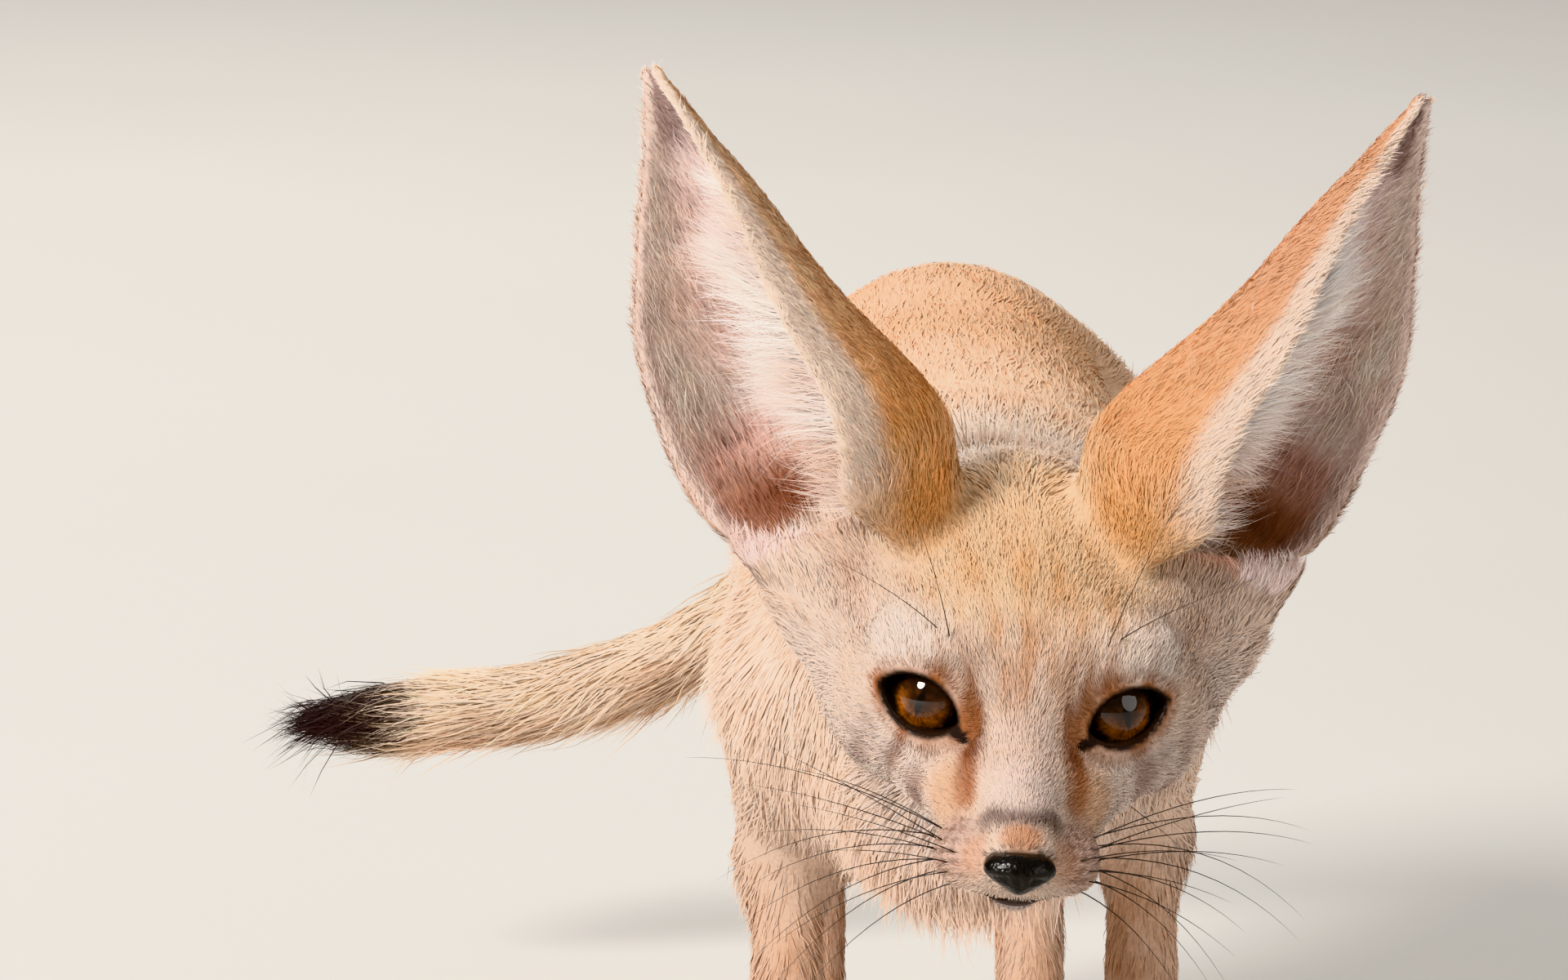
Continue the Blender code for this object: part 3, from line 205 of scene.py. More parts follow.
def in_head(p):
    """From the fox's frame to the head's."""
    return (p - np.array(HEAD_AT)) @ TURN


def from_head(q):
    return q @ TURN.T + np.array(HEAD_AT)


def eye_axes(sign):
    """The gaze, the line along the lids, and the way up across them."""
    facing = Vector((sign * EYE_FACING[0], EYE_FACING[1], EYE_FACING[2])).normalized()
    level = Vector((0, 0, 1)).cross(facing).normalized() * -sign
    across = facing.cross(level) * sign
    slanted = np.array(level * math.cos(EYE_SLANT) + across * math.sin(EYE_SLANT))
    facing = np.array(facing)
    up = np.cross(facing, slanted)
    return facing, slanted, up * (1 if up[2] > 0 else -1)


def eye_point(sign):
    return np.array((sign * EYE_AT[0], EYE_AT[1], EYE_AT[2]))


def eye_plane(q, sign):
    """Along the lids (inner corner negative), across them (up positive), and out along the gaze."""
    facing, lids, up = eye_axes(sign)
    away = lids * (1 if lids[0] * sign > 0 else -1)
    from_eye = q - eye_point(sign)
    return from_eye @ away, from_eye @ up, from_eye @ facing


def almond(q, sign):
    """Distance outside the opening between the lids, seen along the gaze."""
    u, v, _ = eye_plane(q, sign)
    half_w, half_h = EYE_OPENING[0] / 2, EYE_OPENING[1] / 2
    radius = (half_w ** 2 + half_h ** 2) / (2 * half_h)
    shift = radius - half_h
    return np.maximum(np.hypot(u, v + shift), np.hypot(u, v - shift)) - radius


def face(q):
    """The head's surface, without eyes, ears and mouth."""
    skull = blend(ball(q, *SKULL), ball(q, *FOREHEAD), 0.012)
    cheeks = blend(both_sides(ball, q, *CHEEK), both_sides(ball, q, *RUFF), 0.008)
    skull = blend(skull, cheeks, 0.010)
    muzzle = blend(cone(q, *MUZZLE), cone(q, *BRIDGE), 0.006)
    muzzle = blend(muzzle, both_sides(ball, q, *WHISKER_PAD), 0.004)
    muzzle = blend(muzzle, cone(q, *CHIN), 0.004)
    head = blend(skull, muzzle, 0.009)
    head = blend(head, both_sides(cone, q, *UNDER_EYE), 0.007)
    head = blend(head, both_sides(ball, q, *EYE_CORNER), 0.006)
    head = blend(head, both_sides(ball, q, *BROW), 0.008)
    head = blend(head, both_sides(cone, q, *EAR_MOUND), 0.008)
    head = blend(head, both_sides(cone, q, *CONCHA), 0.007)
    for side, sign in (("left", 1), ("right", -1)):
        (x, y, z), rise_to, radius_low, radius_high = EAR_HEEL
        end = [a + b for a, b in zip(EAR_AT[side], rise_to)]
        heel = cone(q, (sign * x, y, z), (sign * end[0], end[1], end[2]), radius_low, radius_high)
        head = blend(head, heel, 0.006)
    return head


EAR_FRAMES = {}
for side in ("left", "right"):
    sign = 1 if side == "left" else -1
    lean, at = EAR_AXIS[side], EAR_AT[side]
    axis = Vector((sign * lean[0], lean[1], lean[2])).normalized()
    ahead = Vector((0, -math.cos(EAR_VIEW_TILT), math.sin(EAR_VIEW_TILT)))
    ahead = (ahead - axis * ahead.dot(axis)).normalized()
    outward = Vector((sign, 0, 0))
    outward = (outward - axis * outward.dot(axis) - ahead * outward.dot(ahead)).normalized()
    turn = EAR_OPENS[side]
    EAR_FRAMES[side] = (np.array((sign * at[0], at[1], at[2])), np.array(axis),
                        np.array(ahead * math.cos(turn) + outward * math.sin(turn)),
                        np.array(outward * math.cos(turn) - ahead * math.sin(turn)))


def ear_forward(share, radius):
    """How far the cup's line bends forward."""
    up = unit(share / EAR_FLARE)
    return radius * EAR_FORWARD * up * up * (3 - 2 * up)


def wall_middle(radius):
    """Radius of the middle of the ear's wall."""
    return radius - np.minimum(EAR_THICK, radius * 0.7) / 2


def ear_places(q, side):
    """For each point: share of the ear's length, angle round its cup (front rim negative),
    distance from the cup's line, and there the cup's radius and wrap."""
    root, axis, opens, across = EAR_FRAMES[side]
    share = (q - root) @ axis / EAR_LENGTH[side]
    radius = np.interp(share, EAR_CURVE[:, 0], EAR_CURVE[:, 1])
    wrap = np.radians(np.interp(share, EAR_CURVE[:, 0], EAR_CURVE[:, 2]))
    deep, wide = (q - root) @ opens - ear_forward(share, radius), (q - root) @ across
    return share, np.arctan2(wide, -deep), np.hypot(deep, wide), radius, wrap


def ear_share(q):
    """Share of the length of the ear on a point's own side."""
    return np.where(q[:, 0] < 0, ear_places(q, "right")[0], ear_places(q, "left")[0])


def ear_field(q, side, thick):
    share, angle, out, radius, wrap = ear_places(q, side)
    middle = wall_middle(radius)
    d = np.abs(out - middle)
    over = np.maximum(0.0, np.abs(angle) - wrap)
    gap = np.sqrt(np.maximum(0, out ** 2 + middle ** 2 - 2 * out * middle * np.cos(over)))
    d = np.where(over > 0, gap, d)
    beyond = np.maximum(0.0, share - 1.0) * EAR_LENGTH[side]
    below = np.maximum(0.0, -0.13 - share) * EAR_LENGTH[side]
    thin = thick / 2 * (1 - 0.20 * rise(share, 0.5, 1.0))
    return np.sqrt(d ** 2 + beyond ** 2 + below ** 2) - thin


def ear_hollow(q, side):
    hollow, wall = np.full(len(q), 1.0), EAR_THICK + EAR_LINING
    root, axis, opens, _ = EAR_FRAMES[side]
    rings = []
    for share in EAR_HOLLOW:
        radius = float(np.interp(share, EAR_CURVE[:, 0], EAR_CURVE[:, 1]))
        middle = root + axis * EAR_LENGTH[side] * share + opens * ear_forward(share, radius)
        rings.append((middle, radius - wall))
    for (a, ra), (b, rb) in zip(rings, rings[1:]):
        hollow = np.minimum(hollow, cone(q, a, b, ra, rb))
    floor = axis * math.cos(EAR_FLOOR_TILT) - opens * math.sin(EAR_FLOOR_TILT)
    return np.maximum(hollow, -((q - root) @ floor))


def mouth_height(q):
    """Distance above the mouth's plane."""
    normal = np.array((0, -MOUTH_RISE, 1.0)) / math.hypot(1, MOUTH_RISE)
    return (q - np.array(MOUTH_FRONT)) @ normal


def torso_field(p):
    narrowed = p / np.array((TORSO_WIDTH, 1.0, 1.0))
    body = np.full(len(p), 1.0)
    for (ya, za, ra), (yb, zb, rb) in zip(TORSO_LINE, TORSO_LINE[1:]):
        body = np.minimum(body, cone(narrowed, (0, ya, za), (0, yb, zb), ra, rb))
    (xa, ya, za, ra), (xb, yb, zb, rb) = BREAST_LOW
    return blend(body, cone(p, (xa, ya, za), (xb, yb, zb), ra, rb), 0.010)


def leg_field(p, name):
    joints, radii = LEGS[name], LEG_RADII[name.split("_")[0]]
    leg = cone(p, joints[0], joints[1], radii[0], radii[1])
    leg = blend(leg, cone(p, joints[1], joints[2], radii[1] * 0.86, radii[2]), 0.010)
    return blend(leg, cone(p, joints[2], joints[3], radii[2], radii[3]), 0.005)


def paw_field(p, name):
    x, y, z = LEGS[name][3]
    heel = (x, y + PAW_LENGTH * 0.08, z - PAD_SUNK - 0.0010)
    paw = cone(p, heel, (x, y - PAW_LENGTH * 0.28, z - PAD_SUNK - 0.0026), 0.0080, 0.0068)
    for i in range(4):
        across = (i - 1.5) / 1.5
        toe_x = x + across * PAW_WIDTH * 0.38
        toe_y = y - PAW_LENGTH * (0.56 - 0.13 * across ** 2)
        toe = cone(p, (toe_x * 0.7 + x * 0.3, toe_y + 0.010, z - 0.0022),
                   (toe_x, toe_y, TOE_RADIUS - PAD_SUNK * 0.7), TOE_RADIUS, TOE_RADIUS)
        paw = blend(paw, toe, 0.0016)
    return paw


def tail_place(p):
    """For each point: share along the tail, and distance from its line."""
    best, where = np.full(len(p), 9.0), np.zeros(len(p))
    for i, (a, b) in enumerate(zip(TAIL_LINE, TAIL_LINE[1:])):
        along = b[:3] - a[:3]
        t = unit((p - a[:3]) @ along / (along @ along))
        d = np.linalg.norm(p - a[:3] - t[:, None] * along, axis=1)
        nearer = d < best
        best, where = np.where(nearer, d, best), np.where(nearer, i + t, where)
    return where / (len(TAIL_LINE) - 1), best


def tail_under(p, share):
    """1 on the tail's underside."""
    line_z = np.interp(share * (len(TAIL_LINE) - 1), range(len(TAIL_LINE)), TAIL_LINE[:, 2])
    return fall(p[:, 2] - line_z, -0.008, 0.002)


def head_share(q):
    """1 on the head, 0 on the neck and body."""
    return fall(q[:, 1], 0.040, 0.066) * rise(q[:, 2], -0.062, -0.045)


def eye_gap(q):
    """Distance outside the nearer eye's opening, large behind the eyes."""
    gap = np.full(len(q), 1.0)
    for sign in (-1, 1):
        out = eye_plane(q, sign)[2]
        gap = np.minimum(gap, np.where(out > -0.002, almond(q, sign), 1.0))
    return gap


def lip_gap(q):
    """Distance from the line between the lips."""
    behind = np.maximum(0.0, q[:, 1] - JAW_BACK_Y)
    return np.hypot(np.abs(mouth_height(q)), behind)


def lip_share(q):
    """1 on the bare dark edges of the lips, mostly below the mouth's line."""
    height = mouth_height(q)
    band = rise(height, -0.0038, -0.0029) * fall(height, 0.0009, 0.0016)
    return band * fall(q[:, 1], -0.0165, -0.0085)


def nose_gap(q):
    return ball(q, (0, NOSE_AT[1] + 0.0010, NOSE_AT[2] - 0.0006), (0.0062, 0.0048, 0.0035))


def coat_depth(p):
    """How far the skin lies below the coat's surface."""
    q = in_head(p)
    head = head_share(q)
    far_back = rise(q[:, 1], 0.000, 0.030)
    on_head = 0.0008 + 0.0017 * far_back
    near = np.minimum(rise(eye_gap(q), 0.000, 0.006),
                      np.minimum(rise(nose_gap(q), 0.0, 0.006), rise(lip_gap(q), 0.0, 0.004)))
    on_head = 0.00015 + on_head * near
    low = fall(p[:, 2], 0.040, 0.100)
    on_body = 0.0040 * (1 - low) + 0.0010 * low
    return on_head * head + on_body * (1 - head)


def head_skin(q):
    head = face(q) + coat_depth(from_head(q))
    for side, sign in (("left", 1), ("right", -1)):
        near = (sign * q[:, 0] > 0.004) & (q[:, 1] > 0.0) & (q[:, 2] > -0.012)
        head = carve(head, only(near, q, lambda r: ear_hollow(r, side)), 0.003)
        head = blend(head, only(near, q, lambda r: ear_field(r, side, 0.0021)), 0.004)
    for sign in (-1, 1):
        lid = np.linalg.norm(q - eye_point(sign), axis=1) - (EYE_RADIUS + LID_THICK * 0.75)
        opening = np.maximum(almond(q, sign), -eye_plane(q, sign)[2])
        head = carve(blend(head, lid, 0.003), opening, 0.0006)
    groove = np.maximum(np.abs(mouth_height(q)) - 0.00035, q[:, 1] - JAW_BACK_Y)
    inner = face(q) + 0.0022
    return carve(head, np.maximum(groove, -inner), 0.0009)


def tail_core(p):
    tail = np.full(len(p), 1.0)
    for a, b in zip(TAIL_LINE, TAIL_LINE[1:]):
        tail = np.minimum(tail, cone(p, a[:3], b[:3], a[3] * 0.52, b[3] * 0.45))
    return tail


def skin_field(p):
    body = torso_field(p)
    (xa, ya, za, ra), (xb, yb, zb, rb) = NECK
    body = blend(body, cone(p, (xa, ya, za), (xb, yb, zb), ra, rb), 0.016)
    for name in LEGS:
        near = (p[:, 2] < 0.200) & (np.abs(p[:, 1] - LEGS[name][1][1]) < 0.11)
        body = blend(body, only(near, p, lambda r: leg_field(r, name)), 0.011)
    body = body + coat_depth(p)
    for name in LEGS:
        near = (p[:, 2] < 0.030) & (np.abs(p[:, 1] - LEGS[name][3][1]) < 0.05)
        body = blend(body, only(near, p, lambda r: paw_field(r, name) + 0.0006), 0.003)
    body = blend(body, only(p[:, 1] > 0.105, p, tail_core), 0.010)
    body = blend(body, only(p[:, 1] < -0.030, p, lambda r: head_skin(in_head(r))), 0.012)
    return np.maximum(body, -p[:, 2] + 0.0001)


# Meshing
BLOCK_CELLS, BLOCKS_AT_ONCE = 5, 400


def lattice(*counts):
    """Every whole point of a box of these counts."""
    return np.stack(np.meshgrid(*map(np.arange, counts), indexing="ij"), -1).reshape(-1, 3)


def sparse_surface(field, low, high, step):
    """Surface nets over the blocks that the surface passes through."""
    low, block = np.array(low), BLOCK_CELLS
    blocks = np.ceil((np.array(high) - low) / (step * block)).astype(int)
    size = step * block
    centres = low + (lattice(*blocks) + 0.5) * size
    at_centre = field(centres)
    values = np.repeat(np.repeat(np.repeat(at_centre.reshape(blocks), block, 0), block, 1), block, 2)
    values = np.pad(values, ((0, 1),) * 3, mode="edge").astype(np.float32)
    active = np.flatnonzero(np.abs(at_centre) < size * 0.87 * 1.35)
    local = lattice(block + 1, block + 1, block + 1)
    for start in range(0, len(active), BLOCKS_AT_ONCE):
        some = active[start:start + BLOCKS_AT_ONCE]
        corner = np.stack(np.unravel_index(some, blocks), -1) * block
        nodes = corner[:, None, :] + local[None]
        found = field(low + nodes.reshape(-1, 3) * step)
        values[tuple(nodes.reshape(-1, 3).T)] = found
    shape = np.array(values.shape)
    cells = shape - 1
    spots, owners, crossings = [], [], []
    for axis in range(3):
        first, second = [slice(None)] * 3, [slice(None)] * 3
        first[axis], second[axis] = slice(0, -1), slice(1, None)
        a, b = values[tuple(first)], values[tuple(second)]
        where = np.argwhere((a < 0) != (b < 0))
        av, bv = a[tuple(where.T)], b[tuple(where.T)]
        spot = where.astype(float)
        spot[:, axis] += av / (av - bv)
        crossings.append((axis, where, av < 0))
        others = [i for i in range(3) if i != axis]
        for da in (0, -1):
            for db in (0, -1):
                cell = where.copy()
                cell[:, others[0]] += da
                cell[:, others[1]] += db
                inside = ((cell >= 0) & (cell < cells)).all(axis=1)
                spots.append(spot[inside])
                owners.append(np.ravel_multi_index(tuple(cell[inside].T), cells))
    owners, spots = np.concatenate(owners), np.concatenate(spots)
    ids, inverse, hits = np.unique(owners, return_inverse=True, return_counts=True)
    points = np.stack([np.bincount(inverse, spots[:, i]) / hits for i in range(3)], -1) * step + low
    quads = []
    for axis, where, starts_inside in crossings:
        b, c = (axis + 1) % 3, (axis + 2) % 3
        ring, good = [], np.ones(len(where), bool)
        for db, dc in ((-1, -1), (0, -1), (0, 0), (-1, 0)):
            cell = where.copy()
            cell[:, b] += db
            cell[:, c] += dc
            good &= ((cell >= 0) & (cell < cells)).all(axis=1)
            ring.append(np.clip(cell, 0, cells - 1))
        faces = np.stack([np.searchsorted(ids, np.ravel_multi_index(tuple(r.T), cells)) for r in ring], 1)
        faces[~starts_inside] = faces[~starts_inside][:, ::-1]
        quads.append(faces[good])
    return points, np.concatenate(quads)


def point_normals(points, faces):
    """Area-weighted normals of a mesh of quads or triangles."""
    normals = np.zeros_like(points)
    a, b, c = points[faces[:, 0]], points[faces[:, 1]], points[faces[:, -1]]
    flat = np.cross(b - a, c - a)
    if faces.shape[1] == 4:
        flat = np.cross(points[faces[:, 2]] - a, points[faces[:, 3]] - b)
    for i in range(faces.shape[1]):
        for k in range(3):
            normals[:, k] += np.bincount(faces[:, i], flat[:, k], len(points))
    return normals / np.maximum(np.linalg.norm(normals, axis=1, keepdims=True), 1e-12)


def put(name, data):
    """An object of this data, linked into the scene."""
    made = bpy.data.objects.new(name, data)
    bpy.context.scene.collection.objects.link(made)
    return made


def add_mesh(name, points, faces, material, slot, colours=None, uv=None, normals=None):
    """A mesh object from arrays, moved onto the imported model, with its colours, and its bake map by corner."""
    mesh = bpy.data.meshes.new(name)
    width = faces.shape[1]
    mesh.vertices.add(len(points))
    mesh.vertices.foreach_set("co", (points + SHIFT).astype(np.float32).ravel())
    mesh.loops.add(len(faces) * width)
    mesh.loops.foreach_set("vertex_index", faces.astype(np.int32).ravel())
    mesh.polygons.add(len(faces))
    mesh.polygons.foreach_set("loop_start", np.arange(0, len(faces) * width, width, dtype=np.int32))
    mesh.update(calc_edges=True)
    mesh.polygons.foreach_set("use_smooth", np.ones(len(faces), bool))
    if colours is not None:
        layer = mesh.color_attributes.new("Coat", "FLOAT_COLOR", "POINT")
        rgba = np.ones((len(points), 4), np.float32)
        rgba[:, :colours.shape[1]] = colours
        layer.data.foreach_set("color", rgba.ravel())
    if uv is not None:
        layer = mesh.uv_layers.new(name="OFBake")
        layer.data.foreach_set("uv", uv.astype(np.float32).ravel())
    if normals is not None:
        mesh.normals_split_custom_set_from_vertices(normals.astype(np.float32))
    mesh.materials.append(material)
    made = put(name, mesh)
    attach(made, "root")
    return made


# Colours. Light that passes from hair to hair grows warmer, so the coat's own colours are cooler.
BODY_GAIN = np.array((1.05, 1.12, 1.18))
COAT_GAIN = np.array((1.03, 1.11, 1.34))


def daylight(r, g, b):
    """A colour read as 0 to 255, in the renderer's own scale."""
    c = np.array((r, g, b)) / 255.0
    return np.where(c <= 0.04045, c / 12.92, ((c + 0.055) / 1.055) ** 2.4)


def noise(p, scale, seed):
    """Smooth noise between -1 and 1 from a few turned waves."""
    rng = np.random.default_rng(seed)
    total = np.zeros(len(p))
    for _ in range(7):
        way = rng.normal(size=3)
        way *= scale * rng.uniform(0.6, 1.5) / np.linalg.norm(way)
        start = rng.uniform(0, 6.28)
        bend = np.sin(p @ (way[[1, 2, 0]] * 0.7) + rng.uniform(0, 6.28))
        total += np.sin(p @ way + start + 0.9 * bend)
    return total / 4.0


def spot(q, centre, radii, soft=0.35):
    """1 in an ellipsoid, fading to 0 just outside it."""
    r = np.linalg.norm((q - np.array(centre)) / np.array(radii), axis=1)
    return fall(r, 1 - soft, 1 + soft)


def paint(base, mask, colour):
    """A colour over another as far as the mask says."""
    return base + (colour - base) * mask[:, None]


def streak_mask(q, start, end, radius, soft):
    return fall(cone(q, start, end, radius, radius), -soft, soft)


# Marks of the head, both sides folded together: middle, radii, softness, strength, what noise does
# to the strength (start, gain, which noise), and the colour.
PLAIN = (1.0, 0.0, "fine")
BROW_MARK = (0.0225, 0.0045, 0.0088), (0.0120, 0.0100, 0.0044), 0.5
CHEEK_MARK = (0.0215, 0.000, -0.0128), (0.0130, 0.0160, 0.0085), 0.4
PAD_MARK = (0.0108, -0.0262, -0.0142), (0.0052, 0.0070, 0.0056), 0.4
HEAD_MARKS = (
    # crown and forehead: golden, with orange streaks, and golden tufts ahead of the ears
    ((0.004, 0.024, 0.022), (0.024, 0.030, 0.014), 0.5, 0.85, PLAIN, (248, 204, 150)),
    ((0.0, 0.008, 0.016), (0.018, 0.018, 0.012), 0.5, 1.0, (0.20, 0.5, "fine"), (234, 172, 110)),
    ((0.0, 0.002, 0.012), (0.012, 0.012, 0.008), 0.6, 1.0, (-0.1, 0.6, "fine"), (222, 156, 98)),
    ((0.0185, 0.0245, 0.0260), (0.0080, 0.010, 0.008), 0.5, 0.85, PLAIN, (240, 172, 104)),
    # temples with a faint grey-brown wash, brown hairs between the eyes, pale brows
    ((0.0270, 0.0190, 0.0110), (0.008, 0.012, 0.008), 0.5, 1.0, (0.35, 0.4, "wave"), (212, 170, 138)),
    ((0.0, -0.006, 0.006), (0.009, 0.009, 0.008), 0.5, 1.0, (0.25, 0.45, "fine"), (212, 156, 112)),
    (*BROW_MARK, 0.85, PLAIN, (246, 222, 194)),
    (*BROW_MARK, 0.4, (-0.2, 1.0, "fine"), (196, 156, 128)),
    # bridge, brightest at its lower end
    ((0.0, -0.018, -0.003), (0.0062, 0.016, 0.006), 0.4, 0.85, PLAIN, (234, 200, 170)),
    ((0.0, -0.024, -0.005), (0.0070, 0.006, 0.005), 0.5, 0.7, PLAIN, (240, 212, 186)),
    # cheeks: white below and behind the eye, with grey roots showing
    (*CHEEK_MARK, 0.9, PLAIN, (244, 216, 188)),
    (*CHEEK_MARK, 0.75, (0.2, 0.9, "fine"), (150, 108, 86)),
    ((0.031, 0.026, -0.010), (0.010, 0.016, 0.012), 0.35, 0.8, PLAIN, (238, 210, 182)),
    # sides of the muzzle: tan
    ((0.0112, -0.0155, -0.0100), (0.0040, 0.0078, 0.0050), 0.6, 0.60, PLAIN, (224, 166, 112)),
)
MUZZLE_MARKS = (
    # grey blotch at the end of the arc, and the tan patch under it
    ((0.0122, -0.0240, -0.0096), (0.0026, 0.0036, 0.0030), 0.6, 0.60, PLAIN, (104, 84, 80)),
    ((0.0, -0.0345, -0.0080), (0.0036, 0.0030, 0.0017), 0.5, 0.85, PLAIN, (204, 142, 98)),
    # whisker pads: pale with grey-brown rows
    (*PAD_MARK, 0.8, PLAIN, (200, 160, 134)),
    (*PAD_MARK, 0.6, (0.0, 1.0, "rows"), (118, 82, 58)),
    ((0.0070, -0.0310, -0.0130), (0.0028, 0.0030, 0.0038), 0.5, 0.55, PLAIN, (214, 156, 116)),
    # chin
    ((0.0, -0.020, -0.0265), (0.012, 0.018, 0.006), 0.35, 0.75, PLAIN, (232, 204, 182)),
)


def marked(c, m, marks, noises):
    """Paints a table of marks over what is already there."""
    for middle, radii, soft, most, (start, gain, which), colour in marks:
        strength = most * unit(start + gain * noises[which])
        c = paint(c, spot(m, middle, radii, soft) * strength, daylight(*colour))
    return c


def head_colours(q):
    """The face's markings, in the head's frame."""
    m = folded(q)
    wave, fine = noise(q, 260, 3), noise(q * (2.4, 0.6, 0.6), 520, 5)
    rows = np.sin((q[:, 2] - 0.15 * q[:, 1]) * 3300) * np.sin(q[:, 1] * 2100 + 1.0)
    noises = {"wave": wave, "fine": fine, "rows": rows * 1.6 + 0.5 * fine}
    c = marked(np.tile(daylight(236, 204, 172), (len(q), 1)), m, HEAD_MARKS, noises)
    # rust streak from the inner corner of the eye down the muzzle
    streak = streak_mask(m, (0.0082, -0.0085, 0.0010), (0.0092, -0.0185, -0.0090), 0.0024, 0.0018)
    c = paint(c, streak * unit(0.80 + 0.35 * fine), daylight(156, 84, 34))
    streak = streak_mask(m, (0.0078, -0.0085, 0.0035), (0.0084, -0.0130, -0.0040), 0.0013, 0.0014)
    c = paint(c, streak * 0.8, daylight(112, 56, 24))
    # rust round the eyes, wider towards the nose
    gap = eye_gap(q)
    inner = rise(0.0150 - m[:, 0], -0.0040, 0.0050)
    ring = fall(gap, 0.0010, 0.0030 + 0.0034 * inner)
    c = paint(c, ring * unit(0.72 + 0.30 * fine), daylight(152, 88, 44))
    corner = spot(m, (0.0102, -0.0045, 0.0056), (0.0048, 0.006, 0.0056), 0.6)
    c = paint(c, corner * unit(0.62 + 0.45 * fine), daylight(140, 84, 46))
    # grey-brown arc over the nose
    round_nose = np.hypot(q[:, 0] * 0.68, q[:, 2] + 0.0111)
    arc = np.exp(-((round_nose - 0.0047) / 0.00070) ** 2) * rise(q[:, 2], -0.0112, -0.0092)
    arc = arc * fall(q[:, 1], -0.0265, -0.0235)
    c = marked(paint(c, arc * 0.78, daylight(104, 76, 66)), m, MUZZLE_MARKS, noises)
    c = paint(c, lip_share(q) * 0.95, daylight(40, 20, 16))
    c = paint(c, fall(nose_gap(q), 0.0001, 0.0007) * 0.9, daylight(40, 26, 22))
    # grey-brown mottling down the outer edge of the ear's base
    edge = streak_mask(m, (0.0540, 0.0370, 0.0135), (0.0400, 0.0370, -0.0060), 0.0050, 0.0040)
    c = paint(c, edge * unit(0.70 + 0.5 * wave) * 0.85, daylight(146, 108, 86))
    # throat and jaw
    c = paint(c, fall(q[:, 2], -0.034, -0.022) * 0.6, daylight(240, 216, 194))
    # black rims, and the tear corner that runs down and in
    dark = fall(gap, 0.0005, 0.0012)
    for sign in (-1, 1):
        u, v, out = eye_plane(q, sign)
        along = unit((-0.0072 - u) / 0.0034)
        away = np.hypot(u + 0.0072 + 0.0034 * along, v + 0.0004 + 0.0014 * along)
        corner = away - 0.0018 * (1 - 0.65 * along)
        dark = np.maximum(dark, fall(corner, -0.0003, 0.0004) * (out > 0))
    return paint(c, dark * 0.97, daylight(20, 12, 10))


def ear_place(q, side):
    """Where a point lies on one ear: on it at all (0 to 1), inside the cup, share, turn, near the rim."""
    share, angle, out, radius, wrap = ear_places(q, side)
    middle = wall_middle(radius)
    mine = (q[:, 0] < 0) == (side == "right")
    wall = mine & (np.abs(out - middle) < 0.006) & (share > 0.02)
    bowl = mine & (share > 0.02) & (share < 0.32) & (out <= middle)
    inside = (out < middle) & (wall | bowl)
    on_ear = np.where(bowl, rise(share, 0.02, 0.05), rise(share, 0.05, 0.19) * wall)
    return on_ear, inside, share, angle / wrap


# Tones of each ear: low and far part of its back, how strong the back's mottling is, the back's base,
# how dark the painted shade in the cup's fold is, where the cream front rim starts and ends, and the rim.
EAR_TONES = {
    # The right ear's back tones are painted lighter than the left's: painted light, as that back faces away from
    # the key light.
    "right": ((255, 186, 120), (255, 204, 152), 0.30, (255, 200, 132), 0.9, (0.77, 0.88), (250, 220, 188)),
    "left": ((246, 182, 122), (232, 172, 124), 0.16, (244, 180, 112), 0.4, (0.82, 0.92), (246, 216, 184)),
}


def ear_colours(q, side, c):
    """Markings of one ear over what is already there, with painted shade in the cup's fold and deep and painted
    light on the cup's outer wall.
    """
    on_ear, inside, share, turn = ear_place(q, side)
    low_back, far_back, mottled, base, fold_shade, (rim_low, rim_high), cream = EAR_TONES[side]
    mottle, broad = noise(q, 1300, 11), noise(q, 300, 13)
    back = np.tile(daylight(*low_back), (len(q), 1))
    for mask, colour in (
            (rise(share, 0.20, 0.65), far_back),
            (unit(mottle + 0.15) * mottled * rise(share, 0.12, 0.4), (122, 76, 50)),
            (fall(share, 0.02, 0.22) * 0.85, base)):
        back = paint(back, mask, daylight(*colour))
    place = np.stack((share, turn, share * 0), -1)

    def patch(middle_share, middle_turn, reach_share, reach_turn, soft):
        return spot(place, (middle_share, middle_turn, 0), (reach_share, reach_turn, 9), soft)

    cup = np.tile(daylight(250, 218, 196), (len(q), 1))
    for mask, colour in (
            (patch(0.55, 0.62, 0.20, 0.32, 0.6) * unit(0.5 + 0.35 * broad), (232, 172, 142)),
            (fall(share, 0.12, 0.27) * fall(turn, 0.85, 1.05) * 0.8, (220, 154, 112)),
            (patch(0.240, 0.76, 0.040, 0.24, 0.7) * 0.6, (224, 152, 122)),
            # Painted shade along the fold in the cup.
            (patch(0.246, 0.78, 0.010, 0.15, 0.6) * fold_shade, (112, 58, 40)),
            # Painted shade in the deep of the cup, at the ear's opening.
            (patch(0.09, 0.45, 0.065, 0.38, 0.6) * 0.85, (128, 66, 40)),
            # Painted light: the cup's outer wall paler and warmer, as if lit through the thin ear.
            (rise(turn, 0.30, 0.90) * rise(share, 0.16, 0.32) * 0.8, (255, 224, 194)),
            (rise(share, 0.80, 0.88) * fall(np.abs(turn), 0.65, 0.9) * 0.75, (118, 84, 70))):
        cup = paint(cup, mask, daylight(*colour))
    ear = np.where(inside[:, None], cup, back)
    rim = np.where(turn < 0, rise(-turn, rim_low, rim_high), rise(turn, 0.90, 0.96)) * rise(share, 0.06, 0.16)
    for mask, colour in (
            (patch(0.10, 0.95, 0.13, 0.22, 0.5) * unit(0.40 + 0.9 * broad) * 0.60, (168, 118, 84)),
            (rim * (turn < 0) * 0.95, cream),
            (rim * (turn > 0) * 0.8, (240, 210, 184))):
        ear = paint(ear, mask, daylight(*colour))
    return paint(c, on_ear, ear)


